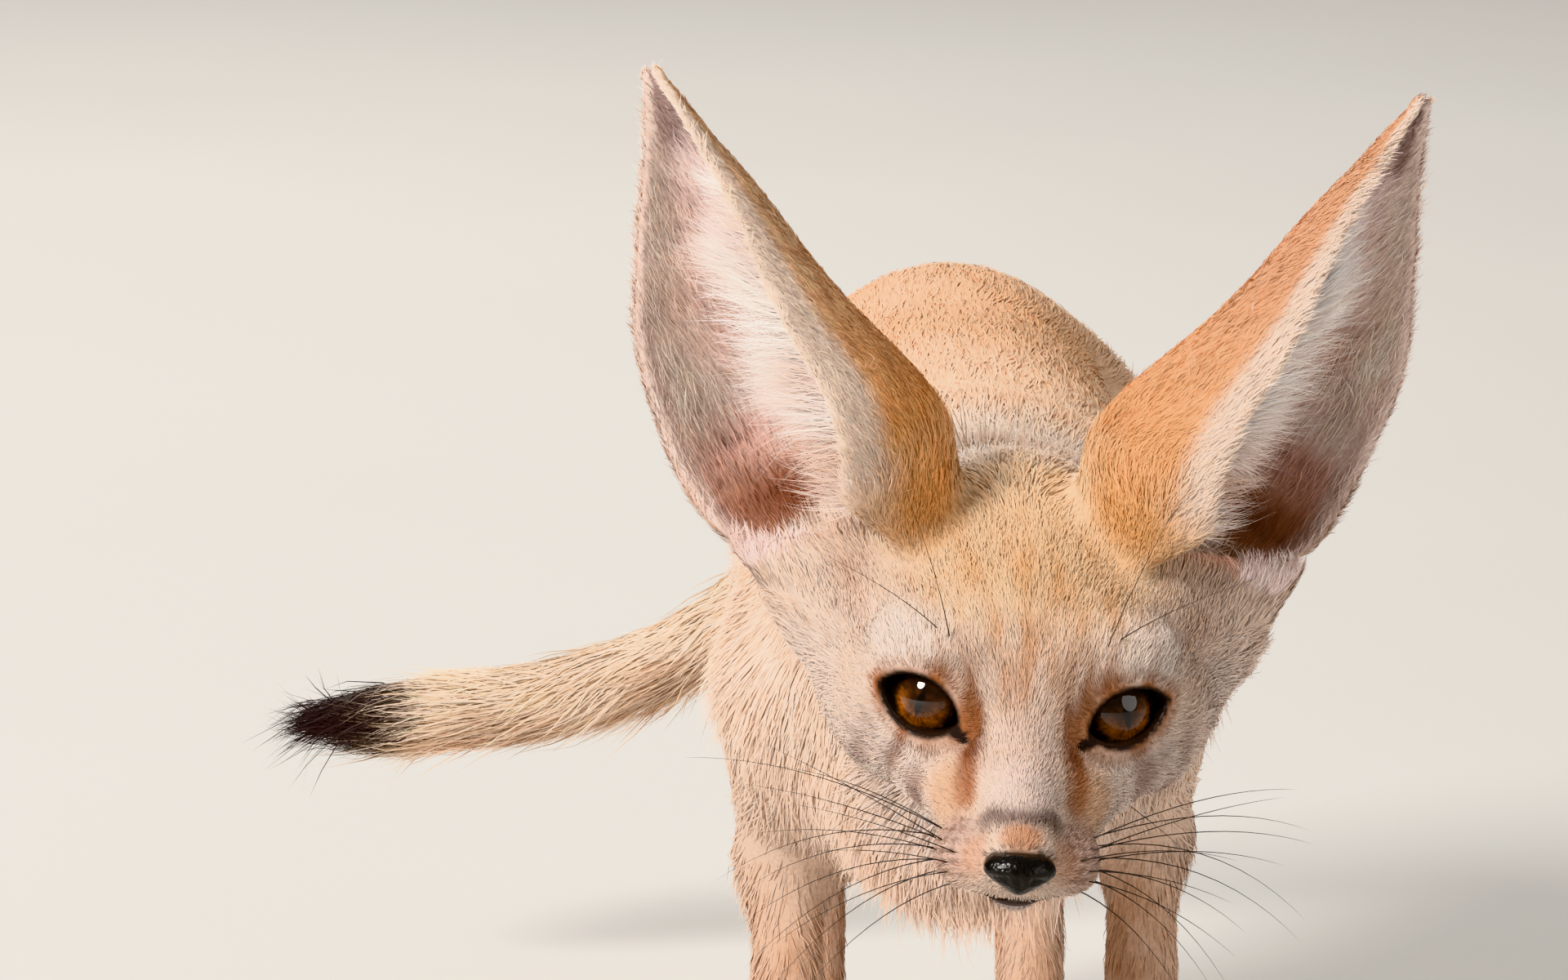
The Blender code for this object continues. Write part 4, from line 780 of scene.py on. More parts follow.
def body_colours(p):
    """The coat's markings on neck, body, legs and tail, with painted shade low on the body and on the legs."""
    wave = noise(p, 90, 21)
    top = rise(p[:, 2], 0.145, 0.180)
    saddle = rise(p[:, 1], -0.020, 0.060) * top * fall(p[:, 1], 0.150, 0.175)
    ruff = fall(p[:, 1], -0.070, -0.040) * rise(p[:, 2], 0.150, 0.175)
    underside_shade, legs = fall(p[:, 2], 0.105, 0.150), fall(p[:, 2], 0.080, 0.110)
    c = np.tile(daylight(236, 200, 164), (len(p), 1))
    for mask, colour in (
            (top * 0.75, (232, 180, 130)),
            (saddle * unit(0.75 + 0.35 * wave), (218, 158, 104)),
            (ruff * 0.8, (244, 212, 178)),
            # Painted shade: everything low on the body darker.
            (underside_shade * 0.8, (214, 174, 140)),
            # The legs' own tan, laid on more strongly as painted shade.
            (legs * unit(0.62 + 0.35 * noise(p, 420, 23)), (198, 146, 106))):
        c = paint(c, mask, daylight(*colour))
    share, away = tail_place(p)
    on_tail = rise(share, 0.10, 0.20) * (away < 0.045)
    tail = np.tile(daylight(246, 208, 168), (len(p), 1))
    tail = paint(tail, tail_under(p, share) * 0.40, daylight(224, 172, 126))
    tail = paint(tail, rise(share + 0.03 * wave, 0.80, 0.88), daylight(56, 38, 34))
    return np.clip(paint(c, on_tail, tail) * BODY_GAIN, 0, 0.96)


def coat_colours(p):
    q = in_head(p)
    head = head_share(q)
    c = paint(body_colours(p), head, 0 * p[:, :3])
    c = c + head_colours(q) * head[:, None]
    for side in ("left", "right"):
        c = ear_colours(q, side, c)
    return np.clip(c * COAT_GAIN, 0, 0.97)


# Materials
def new_material(name):
    """A material, its tree, its shader and the object's own coordinates."""
    material = bpy.data.materials.new(name)
    material.use_nodes = True
    tree = material.node_tree
    tree.nodes.clear()
    output = tree.nodes.new("ShaderNodeOutputMaterial")
    shader = tree.nodes.new("ShaderNodeBsdfPrincipled")
    tree.links.new(shader.outputs["BSDF"], output.inputs["Surface"])
    return material, tree, shader, tree.nodes.new("ShaderNodeTexCoord").outputs["Object"]


def constants(shader, **values):
    """Sets what is the same all over the surface; an underscore stands for a space."""
    for name, value in values.items():
        shader.inputs[name.replace("_", " ")].default_value = value


def maths(tree, operation, a, b=None, clamp=False):
    made = tree.nodes.new("ShaderNodeMath")
    made.operation, made.use_clamp = operation, clamp
    for i, value in enumerate((a, b)):
        if value is None:
            continue
        if isinstance(value, (int, float)):
            made.inputs[i].default_value = value
        else:
            tree.links.new(value, made.inputs[i])
    return made.outputs[0]


def noise_node(tree, coordinates, scale, detail, stretch=None):
    made = tree.nodes.new("ShaderNodeTexNoise")
    made.inputs["Scale"].default_value = scale
    made.inputs["Detail"].default_value = detail
    if stretch is not None:
        mapping = tree.nodes.new("ShaderNodeMapping")
        mapping.inputs["Scale"].default_value = stretch
        tree.links.new(coordinates, mapping.inputs["Vector"])
        coordinates = mapping.outputs["Vector"]
    tree.links.new(coordinates, made.inputs["Vector"])
    return made.outputs["Fac"]


def mixed(tree, factor, a, b, kind="MIX"):
    made = tree.nodes.new("ShaderNodeMix")
    made.data_type, made.blend_type = "RGBA", kind
    for socket, value in ((made.inputs[0], factor), (made.inputs[6], a), (made.inputs[7], b)):
        if isinstance(value, (int, float)):
            socket.default_value = value
        elif isinstance(value, (tuple, list, np.ndarray)):
            socket.default_value = (*[float(v) for v in value][:3], 1.0)
        else:
            tree.links.new(value, socket)
    return made.outputs[2]


def ramp(tree, factor, stops):
    made = tree.nodes.new("ShaderNodeValToRGB")
    elements = made.color_ramp.elements
    while len(elements) < len(stops):
        elements.new(0.5)
    for element, (place, colour) in zip(elements, stops):
        element.position, element.color = place, (*[float(v) for v in colour], 1.0)
    tree.links.new(factor, made.inputs["Fac"])
    return made.outputs["Color"]


def ranged(tree, value, low, high):
    """0 below low, 1 above high."""
    made = tree.nodes.new("ShaderNodeMapRange")
    made.inputs["From Min"].default_value, made.inputs["From Max"].default_value = low, high
    tree.links.new(value, made.inputs["Value"])
    return made.outputs[0]


def varied(tree, value, gain, base):
    """A value as gain times it, plus base."""
    return maths(tree, "ADD", maths(tree, "MULTIPLY", value, gain), base)


def bumped(tree, shader, height, strength, distance):
    made = tree.nodes.new("ShaderNodeBump")
    made.inputs["Strength"].default_value = strength
    made.inputs["Distance"].default_value = distance
    tree.links.new(height, made.inputs["Height"])
    tree.links.new(made.outputs["Normal"], shader.inputs["Normal"])


def coat_material(name, skin=False):
    """Fur: the markings held on the mesh, broken up by fine noise."""
    material, tree, shader, place = new_material(name)
    stored = tree.nodes.new("ShaderNodeAttribute")
    stored.attribute_name = "Coat"
    fine = noise_node(tree, place, 1400.0, 3.0)
    broad = noise_node(tree, place, 160.0, 2.0)
    light = maths(tree, "ADD", maths(tree, "MULTIPLY", fine, 0.5 if skin else 0.28),
                  maths(tree, "MULTIPLY", broad, 0.22))
    light = maths(tree, "ADD", light, 0.60 if skin else 0.76)
    grey = tree.nodes.new("ShaderNodeCombineColor")
    for socket in grey.inputs[:3]:
        tree.links.new(light, socket)
    colour = mixed(tree, 1.0, stored.outputs["Color"], grey.outputs[0], "MULTIPLY")
    tree.links.new(colour, shader.inputs["Base Color"])
    if skin:
        # Alpha of the markings says how wet the skin is: lips, lid rims.
        rough = maths(tree, "SUBTRACT", 0.85, maths(tree, "MULTIPLY", stored.outputs["Alpha"], 0.62))
        tree.links.new(rough, shader.inputs["Roughness"])
        bumped(tree, shader, fine, 0.35, 0.0004)
        constants(shader, Sheen_Weight=0.03)
    else:
        tree.links.new(varied(tree, fine, 0.18, 0.50), shader.inputs["Roughness"])
        constants(shader, Sheen_Weight=0.06, Sheen_Roughness=0.45)
    constants(shader, Specular_IOR_Level=0.32)
    return material


def eye_material():
    """Amber iris with dark veins, painted shade of the upper lid over its top, and a slit pupil, in the eye's own
    space: Z is the gaze, Y is up.
    """
    material, tree, shader, place = new_material("eye_amber")
    axes = tree.nodes.new("ShaderNodeSeparateXYZ")
    tree.links.new(place, axes.inputs[0])
    x, y, _ = axes.outputs
    radial = maths(tree, "SQRT", maths(tree, "ADD", maths(tree, "MULTIPLY", x, x), maths(tree, "MULTIPLY", y, y)))
    share = maths(tree, "DIVIDE", radial, IRIS_RADIUS)
    around = maths(tree, "ARCTAN2", y, x)
    polar = tree.nodes.new("ShaderNodeCombineXYZ")
    for i, value in enumerate((maths(tree, "COSINE", around), maths(tree, "SINE", around),
                               maths(tree, "MULTIPLY", share, 0.35))):
        tree.links.new(value, polar.inputs[i])
    veins = noise_node(tree, polar.outputs[0], 9.0, 6.0)
    blotch = noise_node(tree, place, 480.0, 3.0)
    base = ramp(tree, share, [(at, daylight(*tone)) for at, tone in (
        (0.0, (34, 17, 8)), (0.28, (66, 33, 12)), (0.55, (124, 66, 20)),
        (0.78, (146, 80, 24)), (0.92, (52, 26, 11)), (1.0, (12, 8, 6)))])
    vein = ramp(tree, veins, ((0.36, daylight(70, 34, 14)), (0.62, daylight(255, 255, 255))))
    iris = mixed(tree, 0.70, base, vein, "MULTIPLY")
    gold = maths(tree, "MULTIPLY", maths(tree, "SUBTRACT", blotch, 0.50), 1.6, clamp=True)
    iris = mixed(tree, gold, iris, daylight(186, 112, 36))
    brown = maths(tree, "MULTIPLY", maths(tree, "SUBTRACT", 0.47, blotch), 5.0, clamp=True)
    iris = mixed(tree, brown, iris, daylight(46, 22, 8))
    # Painted shade: the iris darkens towards its top, as in the upper lid's shadow.
    lid_shade = maths(tree, "MULTIPLY", ranged(tree, y, -0.0014, 0.0024), 0.95)
    iris = mixed(tree, lid_shade, iris, daylight(20, 11, 7))
    ball_colour = mixed(tree, maths(tree, "LESS_THAN", share, 1.0), daylight(18, 10, 8), iris)
    wide = maths(tree, "DIVIDE", maths(tree, "ABSOLUTE", x), PUPIL[0])
    tall = maths(tree, "DIVIDE", y, PUPIL[1])
    slit = ranged(tree, maths(tree, "ADD", wide, maths(tree, "MULTIPLY", tall, tall)), 0.75, 1.45)
    tree.links.new(mixed(tree, slit, (0.003, 0.002, 0.002), ball_colour), shader.inputs["Base Color"])
    tree.links.new(varied(tree, blotch, 0.05, 0.03), shader.inputs["Roughness"])
    constants(shader, Coat_Weight=1.0, Coat_Roughness=0.015, IOR=1.38)
    return material


def nose_material():
    material, tree, shader, place = new_material("nose_black")
    cells = tree.nodes.new("ShaderNodeTexVoronoi")
    cells.inputs["Scale"].default_value = 1500.0
    tree.links.new(place, cells.inputs["Vector"])
    tint = noise_node(tree, place, 420.0, 3.0)
    black = ramp(tree, tint, ((0.35, (0.0025, 0.0022, 0.0022)), (0.75, (0.012, 0.010, 0.009))))
    tree.links.new(black, shader.inputs["Base Color"])
    tree.links.new(varied(tree, tint, 0.16, 0.20), shader.inputs["Roughness"])
    bumped(tree, shader, cells.outputs["Distance"], 0.45, 0.0003)
    constants(shader, Coat_Weight=0.15, Coat_Roughness=0.12, Specular_IOR_Level=0.35)
    return material


def horn_material(name, dark, light):
    material, tree, shader, place = new_material(name)
    streaks = noise_node(tree, place, 600.0, 3.0, (1.0, 0.3, 1.0))
    tree.links.new(ramp(tree, streaks, ((0.3, dark), (0.7, light))), shader.inputs["Base Color"])
    tree.links.new(varied(tree, streaks, 0.15, 0.35), shader.inputs["Roughness"])
    return material


# Eyes, nose, claws, whiskers
IRIS_RADIUS = 0.0055
PUPIL = (0.00060, 0.0027)


def make_eye(side, sign, material):
    facing, _, up = eye_axes(sign)
    right = np.cross(up, facing)
    mesh = bpy.data.meshes.new("eyeball_" + side)
    bm = bmesh.new()
    bmesh.ops.create_uvsphere(bm, u_segments=72, v_segments=48, radius=EYE_RADIUS)
    for v in bm.verts:
        # The cornea stands a little proud of the ball, over the iris.
        out = math.hypot(v.co.x, v.co.y) / (IRIS_RADIUS * 1.15)
        if v.co.z > 0 and out < 1:
            v.co.z += 0.00035 * (1 - out * out)
    for f in bm.faces:
        f.smooth = True
    bm.to_mesh(mesh)
    bm.free()
    mesh.materials.append(material)
    eye = put("eyeball_" + side, mesh)
    turn = np.eye(4)
    turn[:3, 0], turn[:3, 1], turn[:3, 2] = TURN @ right, TURN @ up, TURN @ facing
    turn[:3, 3] = from_head(eye_point(sign)[None])[0] + SHIFT
    eye.matrix_world = Matrix(turn.tolist())
    bpy.context.view_layer.update()
    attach(eye, "root")
    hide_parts("eye_" + side)


def nose_field(q):
    x, y, z = NOSE_AT
    width, height, depth = NOSE_SIZE
    up = (q[:, 1] - y) * 0.462 + (q[:, 2] - z) * 0.866
    narrowed = q / np.stack((1 - 0.52 * rise(-up, 0.0004, 0.0046), 1 + 0 * up, 1 + 0 * up), -1)
    pad = ball(narrowed, (x, y, z + 0.0002), (width / 2, depth / 2, height / 2))
    lower = ball(narrowed, (x, y + 0.0004, z - 0.0016), (width * 0.40, depth * 0.44, height * 0.42))
    pad = carve(blend(pad, lower, 0.0015), 0.0030 - up, 0.0012)
    nostril = both_sides(cone, q, (0.0028, y - depth * 0.50, z - 0.0004),
                         (0.0058, y - depth * 0.28, z - 0.0012), 0.0011, 0.0008)
    groove = cone(q, (x, y - depth * 0.52, z), (x, y - depth * 0.42, z - 0.006), 0.0004, 0.0005)
    return carve(carve(pad, nostril, 0.0008), groove, 0.0006)


def tubes(paths, sides):
    """Tapered tubes along paths of (points, radii), as one array of triangles."""
    points, faces, start = [], [], 0
    for line, radii in paths:
        line = np.array(line)
        ways = np.gradient(line, axis=0)
        ways = straight(ways)
        helper = np.array((0.0, 0.0, 1.0)) if abs(ways[0][2]) < 0.8 else np.array((1.0, 0, 0))
        u = np.cross(ways, helper)
        u = straight(u)
        v = np.cross(ways, u)
        for i in range(len(line) - 1):
            for k in range(sides):
                a = 2 * math.pi * k / sides
                points.append(line[i] + (u[i] * math.cos(a) + v[i] * math.sin(a)) * radii[i])
        points.append(line[-1])
        for i in range(len(line) - 2):
            for k in range(sides):
                a, b = start + i * sides + k, start + i * sides + (k + 1) % sides
                faces += [(a, b, b + sides), (a, b + sides, a + sides)]
        last = start + (len(line) - 2) * sides
        faces += [(last + k, last + (k + 1) % sides, start + (len(line) - 1) * sides) for k in range(sides)]
        faces += [(start, start + k + 1, start + k) for k in range(1, sides - 1)]
        start = len(points)
    return np.array(points), np.array(faces)


def on_face(start, way):
    """Where a ray from inside the head's skin leaves it, in the head's frame."""
    steps = np.linspace(0, 0.03, 241)
    points = np.array(start) + steps[:, None] * np.array(way)
    out = face(points) + 0.0008 > 0
    return points[np.argmax(out)]


def strand(root, out, sag, behind, length, count, radius, taper, power=1.0):
    """One long hair as a path and its radii: straight out from just behind its root, then sagging."""
    t = np.linspace(0, 1, count)[:, None]
    line = root - out * behind + out * length * t + sag * length * t * t
    return from_head(line), radius * (1 - taper * t[:, 0] ** power)


def whisker_paths(rng):
    """Four rows on each pad, two hairs over each eye and one on each cheek."""
    paths = []
    for sign in (-1, 1):
        for row in range(4):
            for col in range(3 if row in (0, 3) else 4):
                start = (sign * 0.004, -0.0285 + 0.0042 * col, -0.0140 - 0.0019 * row)
                root = on_face(start, (sign, 0.0, 0.0))
                length = (0.030 + 0.008 * col) * rng.uniform(0.85, 1.15) * (1 - 0.12 * (row == 3))
                out = np.array((sign * 0.93, 0.10 + 0.18 * col, 0.34 - 0.26 * row + rng.uniform(-0.08, 0.08)))
                out /= np.linalg.norm(out)
                back, down = 0.30 + 0.14 * rng.random(), -0.46 - 0.08 * row + 0.16 * rng.random()
                sag = np.array((sign * -0.06, back, down))
                paths.append(strand(root, out, sag, 0.0008, length, 12, 0.00012, 0.88, 1.3))
        for (x, y, z), length, out, sag in (
                ((0.0135, -0.002, 0.010), 0.034, (0.20, -0.30, 1.0), (0.14, 0.34, -0.04)),
                ((0.0155, 0.000, 0.0105), 0.028, (0.60, -0.40, 0.75), (0.26, 0.24, -0.14))):
            root = on_face((sign * x, y + 0.01, z - 0.008), (0.0, -0.62, 0.78))
            out, sag = np.array(out) * (sign, 1, 1), np.array(sag) * (sign, 1, 1)
            paths.append(strand(root, out / np.linalg.norm(out), sag, 0.001, length, 10, 0.00011, 0.85))
        root = on_face((sign * 0.012, 0.006, -0.016), (sign * 0.85, 0, -0.5))
        out = np.array((sign * 0.72, 0.15, -0.55))
        paths.append(strand(root, out, np.array((0, 0.3, -0.25)), 0.0, 0.022, 8, 0.00009, 0.85))
    return paths


def claw_paths():
    paths = []
    for name in LEGS:
        x, y, _ = LEGS[name][3]
        for i in range(4):
            across = (i - 1.5) / 1.5
            toe = np.array((x + across * PAW_WIDTH * 0.40, y - PAW_LENGTH * (0.66 - 0.13 * across ** 2), 0.0052))
            t = np.linspace(0, 1, 6)[:, None]
            line = toe + np.array((0, 0.0030, 0.0006)) * (1 - t) + np.array((0, -CLAW_LENGTH, -0.0008)) * t
            line = line - np.array((0, 0, 0.0026)) * t * t
            paths.append((line, 0.0013 * (1 - 0.80 * t[:, 0] ** 1.4)))
    return paths


# Hair
HAIR_SUNK = 0.0001
FLOOR_GAP = 0.0002
BLADE_SHAPES = {2: (1.0, 0.72), 3: (0.85, 1.0, 0.62)}
ROOT_PATCH = 0.0015


def fox_flow(p, n):
    """The lie of the coat at each skin point, as a direction along the skin."""
    q = in_head(p)
    head = head_share(q)[:, None]
    sign = np.sign(q[:, :1])
    away = q - np.array((0.0, -0.044, -0.010))
    away = straight(away)
    back = np.concatenate((sign * 0.10, np.ones_like(sign), -0.55 * rise(-q[:, 2:3], -0.004, 0.014)), 1)
    flow = away * 0.8 + back * rise(q[:, 1], -0.018, 0.020)[:, None]
    for s in (-1, 1):
        facing = eye_axes(s)[0]
        near = fall(almond(q, s), 0.001, 0.007) * (eye_plane(q, s)[2] > -0.002)
        off = q - eye_point(s)
        off = off - facing * (off @ facing)[:, None]
        off /= np.maximum(np.linalg.norm(off, axis=1, keepdims=True), 1e-9)
        flow = flow + (off * 1.5 - flow * 0.4) * near[:, None]
    head_flow = flow @ TURN.T
    # body: back along the spine and down the sides
    side = unit(1 - np.abs(n[:, 2]))[:, None]
    body = np.concatenate((0 * side, np.ones_like(side), -0.45 * side), 1)
    front = fall(p[:, 1], -0.060, -0.020)[:, None]
    body = body + front * np.concatenate((0 * side, -0.4 + 0 * side, -0.55 * side), 1)
    low = fall(p[:, 2], 0.075, 0.110)
    down = np.tile((0.0, 0.12, -1.0), (len(p), 1))
    body = body * (1 - low)[:, None] + down * low[:, None]
    paw = fall(p[:, 2], 0.012, 0.022)
    body = body * (1 - paw)[:, None] + np.array((0.0, -1.0, -0.25)) * paw[:, None]
    share, away_tail = tail_place(p)
    on_tail = (rise(share, 0.06, 0.16) * (away_tail < 0.02))[:, None]
    at = np.clip((share * (len(TAIL_LINE) - 1)).astype(int), 0, len(TAIL_LINE) - 2)
    along = TAIL_LINE[at + 1, :3] - TAIL_LINE[at, :3]
    along = straight(along)
    body = body * (1 - on_tail) + along * on_tail
    flow = body * (1 - head) + head_flow * head
    for side_name in ("left", "right"):
        share, angle, out, radius, _ = ear_places(q, side_name)
        on, inside, _, _ = ear_place(q, side_name)
        _, axis, opens, across = EAR_FRAMES[side_name]
        mine = (q[:, 0] < 0) == (side_name == "right")
        below = rise(share, -0.42, -0.04) * fall(np.abs(out - radius), 0.004, 0.013) * mine * (1 - on)
        below = (below * (q[:, 2] > 0.004) * 0.85)[:, None] * head
        flow = flow * (1 - below) + (axis @ TURN.T) * below
        on, inside = on[:, None], inside[:, None]
        tangent = across * np.cos(angle)[:, None] + opens * np.sin(angle)[:, None]
        outward_turn = np.sign(angle)[:, None] * tangent
        back_flow = axis + outward_turn * 0.35
        cup_flow = np.where(angle[:, None] < 0, tangent * 0.9 + axis * 0.55, tangent * 0.25 + axis * 0.9)
        ear = np.where(inside, cup_flow, back_flow) @ TURN.T
        flow = flow * (1 - on) + ear * on
    flow = flow - n * (flow * n).sum(1, keepdims=True)
    return flow / np.maximum(np.linalg.norm(flow, axis=1, keepdims=True), 1e-9)


def fox_regions(p):
    """Which piece of coat grows at each place, how long it is and how thick a hair is."""
    q = in_head(p)
    share_head = head_share(q)
    head = share_head > 0.5
    region = np.full(len(p), "body", dtype="U8")
    length = np.full(len(p), 0.0105)
    front = fall(p[:, 1], -0.070, -0.020)
    length = length + 0.0025 * front
    low = fall(p[:, 2], 0.070, 0.120)
    length = length * (1 - low) + 0.0042 * low
    length = np.where(p[:, 2] < 0.020, 0.0028, length)
    thick = 0.00034 - 0.00008 * front - 0.00008 * low
    region[front > 0.5] = "neck"
    region[p[:, 2] < 0.100] = "legs"
    share, away = tail_place(p)
    tail = (share > 0.06) & (away < 0.02)
    region[tail] = "tail"
    fringe = 0.008 * tail_under(p, share) * fall(share, 0.75, 0.92)
    length = np.where(tail, 0.021 + 0.002 * rise(share, 0.75, 0.95) + fringe, length)
    thick = np.where(tail, 0.00030, thick)
    on_head = (0.0020 + 0.0022 * rise(q[:, 1], -0.024, 0.000) + 0.0024 * rise(q[:, 1], 0.000, 0.024)
               + 0.0050 * rise(q[:, 1], 0.018, 0.055))
    on_head += 0.0030 * rise(-q[:, 2], 0.004, 0.018) * rise(q[:, 1], 0.000, 0.026)
    on_head += 0.0015 * spot(folded(q), (0.0225, 0.0045, 0.0088), (0.012, 0.01, 0.005))
    on_head = on_head * (0.45 + 0.55 * rise(eye_gap(q), 0.001, 0.010))
    length = length * (1 - share_head) + on_head * share_head
    on_head = 0.00013 + 0.00010 * rise(q[:, 1], -0.010, 0.050)
    thick = thick * (1 - share_head) + on_head * share_head
    region[head] = "crown"
    region[head & (q[:, 1] < 0.026) & (q[:, 2] > -0.020)] = "face"
    region[head & (q[:, 1] < -0.002)] = "muzzle"
    for side in ("left", "right"):
        on_ear, inside, place, turn = ear_place(q, side)
        _, _, out, radius, _ = ear_places(q, side)
        root = rise(place, -0.30, -0.06) * fall(np.abs(out - radius), 0.004, 0.010) * head * (q[:, 2] > 0)
        length = length * (1 - 0.55 * root)
        ear = (on_ear > 0.3)
        rim = ear & (np.abs(turn) > 0.90) & (place > 0.10)
        region[ear] = "earback"
        length = np.where(ear, 0.0030 + 0.0040 * fall(place, 0.05, 0.30), length)
        thick = np.where(ear, 0.00018, thick)
        region[ear & inside] = "earcup"
        in_cup = 0.0036 + 0.0022 * rise(place, 0.1, 0.3) - 0.0022 * rise(place, 0.5, 0.9)
        length = np.where(ear & inside, in_cup, length)
        length = np.where(rim, 0.0034, length)
        length = np.where(ear, length * (1 - 0.45 * rise(place, 0.86, 0.99)), length)
        thick = np.where(ear & inside, 0.00016, thick)
    return region, length, thick


def bare(p):
    """0 where no hair grows: eyes, nose, lips and soles."""
    q = in_head(p)
    keep = rise(eye_gap(q), 0.0008, 0.0022)
    keep = keep * rise(nose_gap(q), 0.0000, 0.0008)
    keep = keep * (1 - lip_share(q))
    behind_ball = np.minimum(*[np.linalg.norm(q - eye_point(s), axis=1) for s in (-1, 1)])
    keep = keep * (behind_ball > EYE_RADIUS + 0.0002)
    return keep * (p[:, 2] > 0.0008)


class Coat:
    """Skin triangles, with what grows on each."""
    def __init__(self, points, faces):
        self.points = points
        self.tris = np.concatenate((faces[:, [0, 1, 2]], faces[:, [0, 2, 3]]))
        self.quad = np.concatenate((np.arange(len(faces)), np.arange(len(faces))))
        a, b, c = (points[self.tris[:, i]] for i in range(3))
        cross = np.cross(b - a, c - a)
        self.area = np.linalg.norm(cross, axis=1) / 2
        self.centre = (a + b + c) / 3
        self.normals = point_normals(points, faces)
        self.region, self.length, self.thick = fox_regions(self.centre)
        self.keep = bare(self.centre)


def scatter(coat, weight, count, rng):
    """Roots spread over the skin: their triangles, places and normals."""
    total = np.cumsum(weight)
    picks = (np.arange(count) + rng.random(count)) / count * total[-1]
    tri = np.minimum(np.searchsorted(total, picks), len(total) - 1)
    u, v = rng.random(count), rng.random(count)
    over = u + v > 1
    u, v = np.where(over, 1 - u, u), np.where(over, 1 - v, v)
    a, b, c = (coat.points[coat.tris[tri, i]] for i in range(3))
    root = a + (b - a) * u[:, None] + (c - a) * v[:, None]
    na, nb, nc = (coat.normals[coat.tris[tri, i]] for i in range(3))
    n = na * (1 - u - v)[:, None] + nb * u[:, None] + nc * v[:, None]
    return tri, root, straight(n)


def clumped(root, way, bend, long, every):
    """Bends each hair's tip towards the tip of the nearest of a few hairs."""
    tree = KDTree(len(root[::every]))
    for i, seed in enumerate(root[::every]):
        tree.insert(seed, i)
    tree.balance()
    owner = np.array([tree.find(r)[1] for r in root])
    tips = root + way * long[:, None] + bend * long[:, None]
    wanted = tips[::every][owner] - tips
    pull = unit(np.linalg.norm(wanted, axis=1) / np.maximum(long, 1e-9))
    return bend + wanted / long[:, None] * (0.55 * (1 - 0.5 * pull))[:, None]


def hair_colours(base, root, steady, levels, rng):
    """Colours from root to tip, with some hairs darker, redder or paler than others."""
    count = len(root)
    hair = 1 + 0.09 * steady * rng.normal(size=count)
    hair = hair * (1 + 0.07 * noise(root, 420, 37)) * (1 + 0.05 * noise(root, 120, 39))
    dark = (rng.random(count) < 0.08) * 0.30 * steady
    tone = np.clip(hair - dark, 0.45, 1.30)
    tint = np.clip(rng.normal(size=count) * 0.03, -0.08, 0.08)
    tinted = base * tone[:, None] * np.stack((1 + tint, 1 + 0 * tint, 1 - tint * 1.4), -1)
    return unit(tinted[:, None, :] * levels[None, :, None])


def grow(coat, region, count, rows, rng, lift, spread=1.0, width=1.0, length=1.0, clump=0,
         chosen=None, steady=1.0, way_of=None, pale=None, faces_to=None, deep=0.66):
    """Tapered blades of hair over one region, rooted just under the skin.

    faces_to says which way the blades' flat sides look, and deep how light their roots are.
    """
    weight = coat.area * coat.keep * (coat.region == region)
    if chosen is not None:
        weight = weight * chosen
    tri, root, n = scatter(coat, weight, count, rng)
    flow = fox_flow(root, n) if way_of is None else way_of(root, n)
    up = n if faces_to is None else faces_to(root, n)
    up = up - flow * (up * flow).sum(1, keepdims=True)
    up = straight(up)
    across = np.cross(up, flow)
    wander = noise(root, 380, 31) * 0.22 * spread + rng.normal(size=count) * 0.16 * spread
    flow = flow * np.cos(wander)[:, None] + across * np.sin(wander)[:, None]
    across = np.cross(up, flow)
    reach = length if np.isscalar(length) else length[tri]
    long = coat.length[tri] * reach * np.clip(1 + 0.22 * rng.normal(size=count), 0.45, 1.6)
    angle = lift * np.clip(1 + 0.35 * rng.normal(size=count), 0.2, 2.0)
    if region == "tail":
        angle = angle * (1 + 0.8 * rise(tail_place(root)[0], 0.70, 0.90))
    way = flow * np.cos(angle)[:, None] + up * np.sin(angle)[:, None]
    bend = -up * (np.sin(angle) * 0.9)[:, None] + across * (0.16 * spread * rng.normal(size=count))[:, None]
    roll = rng.normal(size=count) * 0.45
    wide = across * np.cos(roll)[:, None] + up * np.sin(roll)[:, None]
    thick = coat.thick[tri] * width * np.clip(1 + 0.25 * rng.normal(size=count), 0.5, 1.7)
    if clump:
        bend = clumped(root, way, bend, long, clump)
    root = root - n * HAIR_SUNK
    base = coat_colours(root) if pale is None else pale(root)
    points, shade = [], []
    for i, taper in enumerate(BLADE_SHAPES[rows]):
        t = i / rows
        centre = root + way * (long * t)[:, None] + bend * (long * t * t)[:, None]
        half = wide * (thick * taper / 2)[:, None]
        points += [centre - half, centre + half]
        shade += [t, t]
    points.append(root + way * long[:, None] + bend * long[:, None])
    shade.append(1.0)
    per = len(points)
    points = np.stack(points, 1)
    points[:, :, 2] = np.maximum(points[:, :, 2], FLOOR_GAP)
    pattern = []
    for i in range(0, 2 * rows - 2, 2):
        pattern += [(i, i + 3, i + 1), (i, i + 2, i + 3)]
    pattern.append((2 * rows - 2, 2 * rows, 2 * rows - 1))
    faces = (np.arange(count)[:, None, None] * per + np.array(pattern)[None]).reshape(-1, 3)
    colours = hair_colours(base, root, steady, deep + (1.08 - deep) * np.array(shade), rng)
    flat = np.cross(wide, way)
    flat *= np.sign((flat * up).sum(1, keepdims=True))
    soft = up * 0.62 + flat * 0.38
    soft = np.repeat(straight(soft), per, axis=0)
    return points.reshape(-1, 3), faces, colours.reshape(-1, 3), np.repeat(coat.quad[tri], per), soft, per


def join_hair(parts):
    """Puts batches of hair together: points, faces, colours, skin faces, normals, points per hair."""
    start, moved = 0, []
    for p, f, c, quads, soft, per in parts:
        moved.append((p, f + start, c, quads, soft, np.full(len(p) // per, per)))
        start += len(p)
    return [np.concatenate(column) for column in zip(*moved)]


# Bake map
THIN_TRIANGLES = 24000


def read(things, key, width, kind=float):
    """All of one attribute of a mesh's parts, as rows."""
    values = np.zeros(len(things) * width, kind)
    things.foreach_get(key, values)
    return values


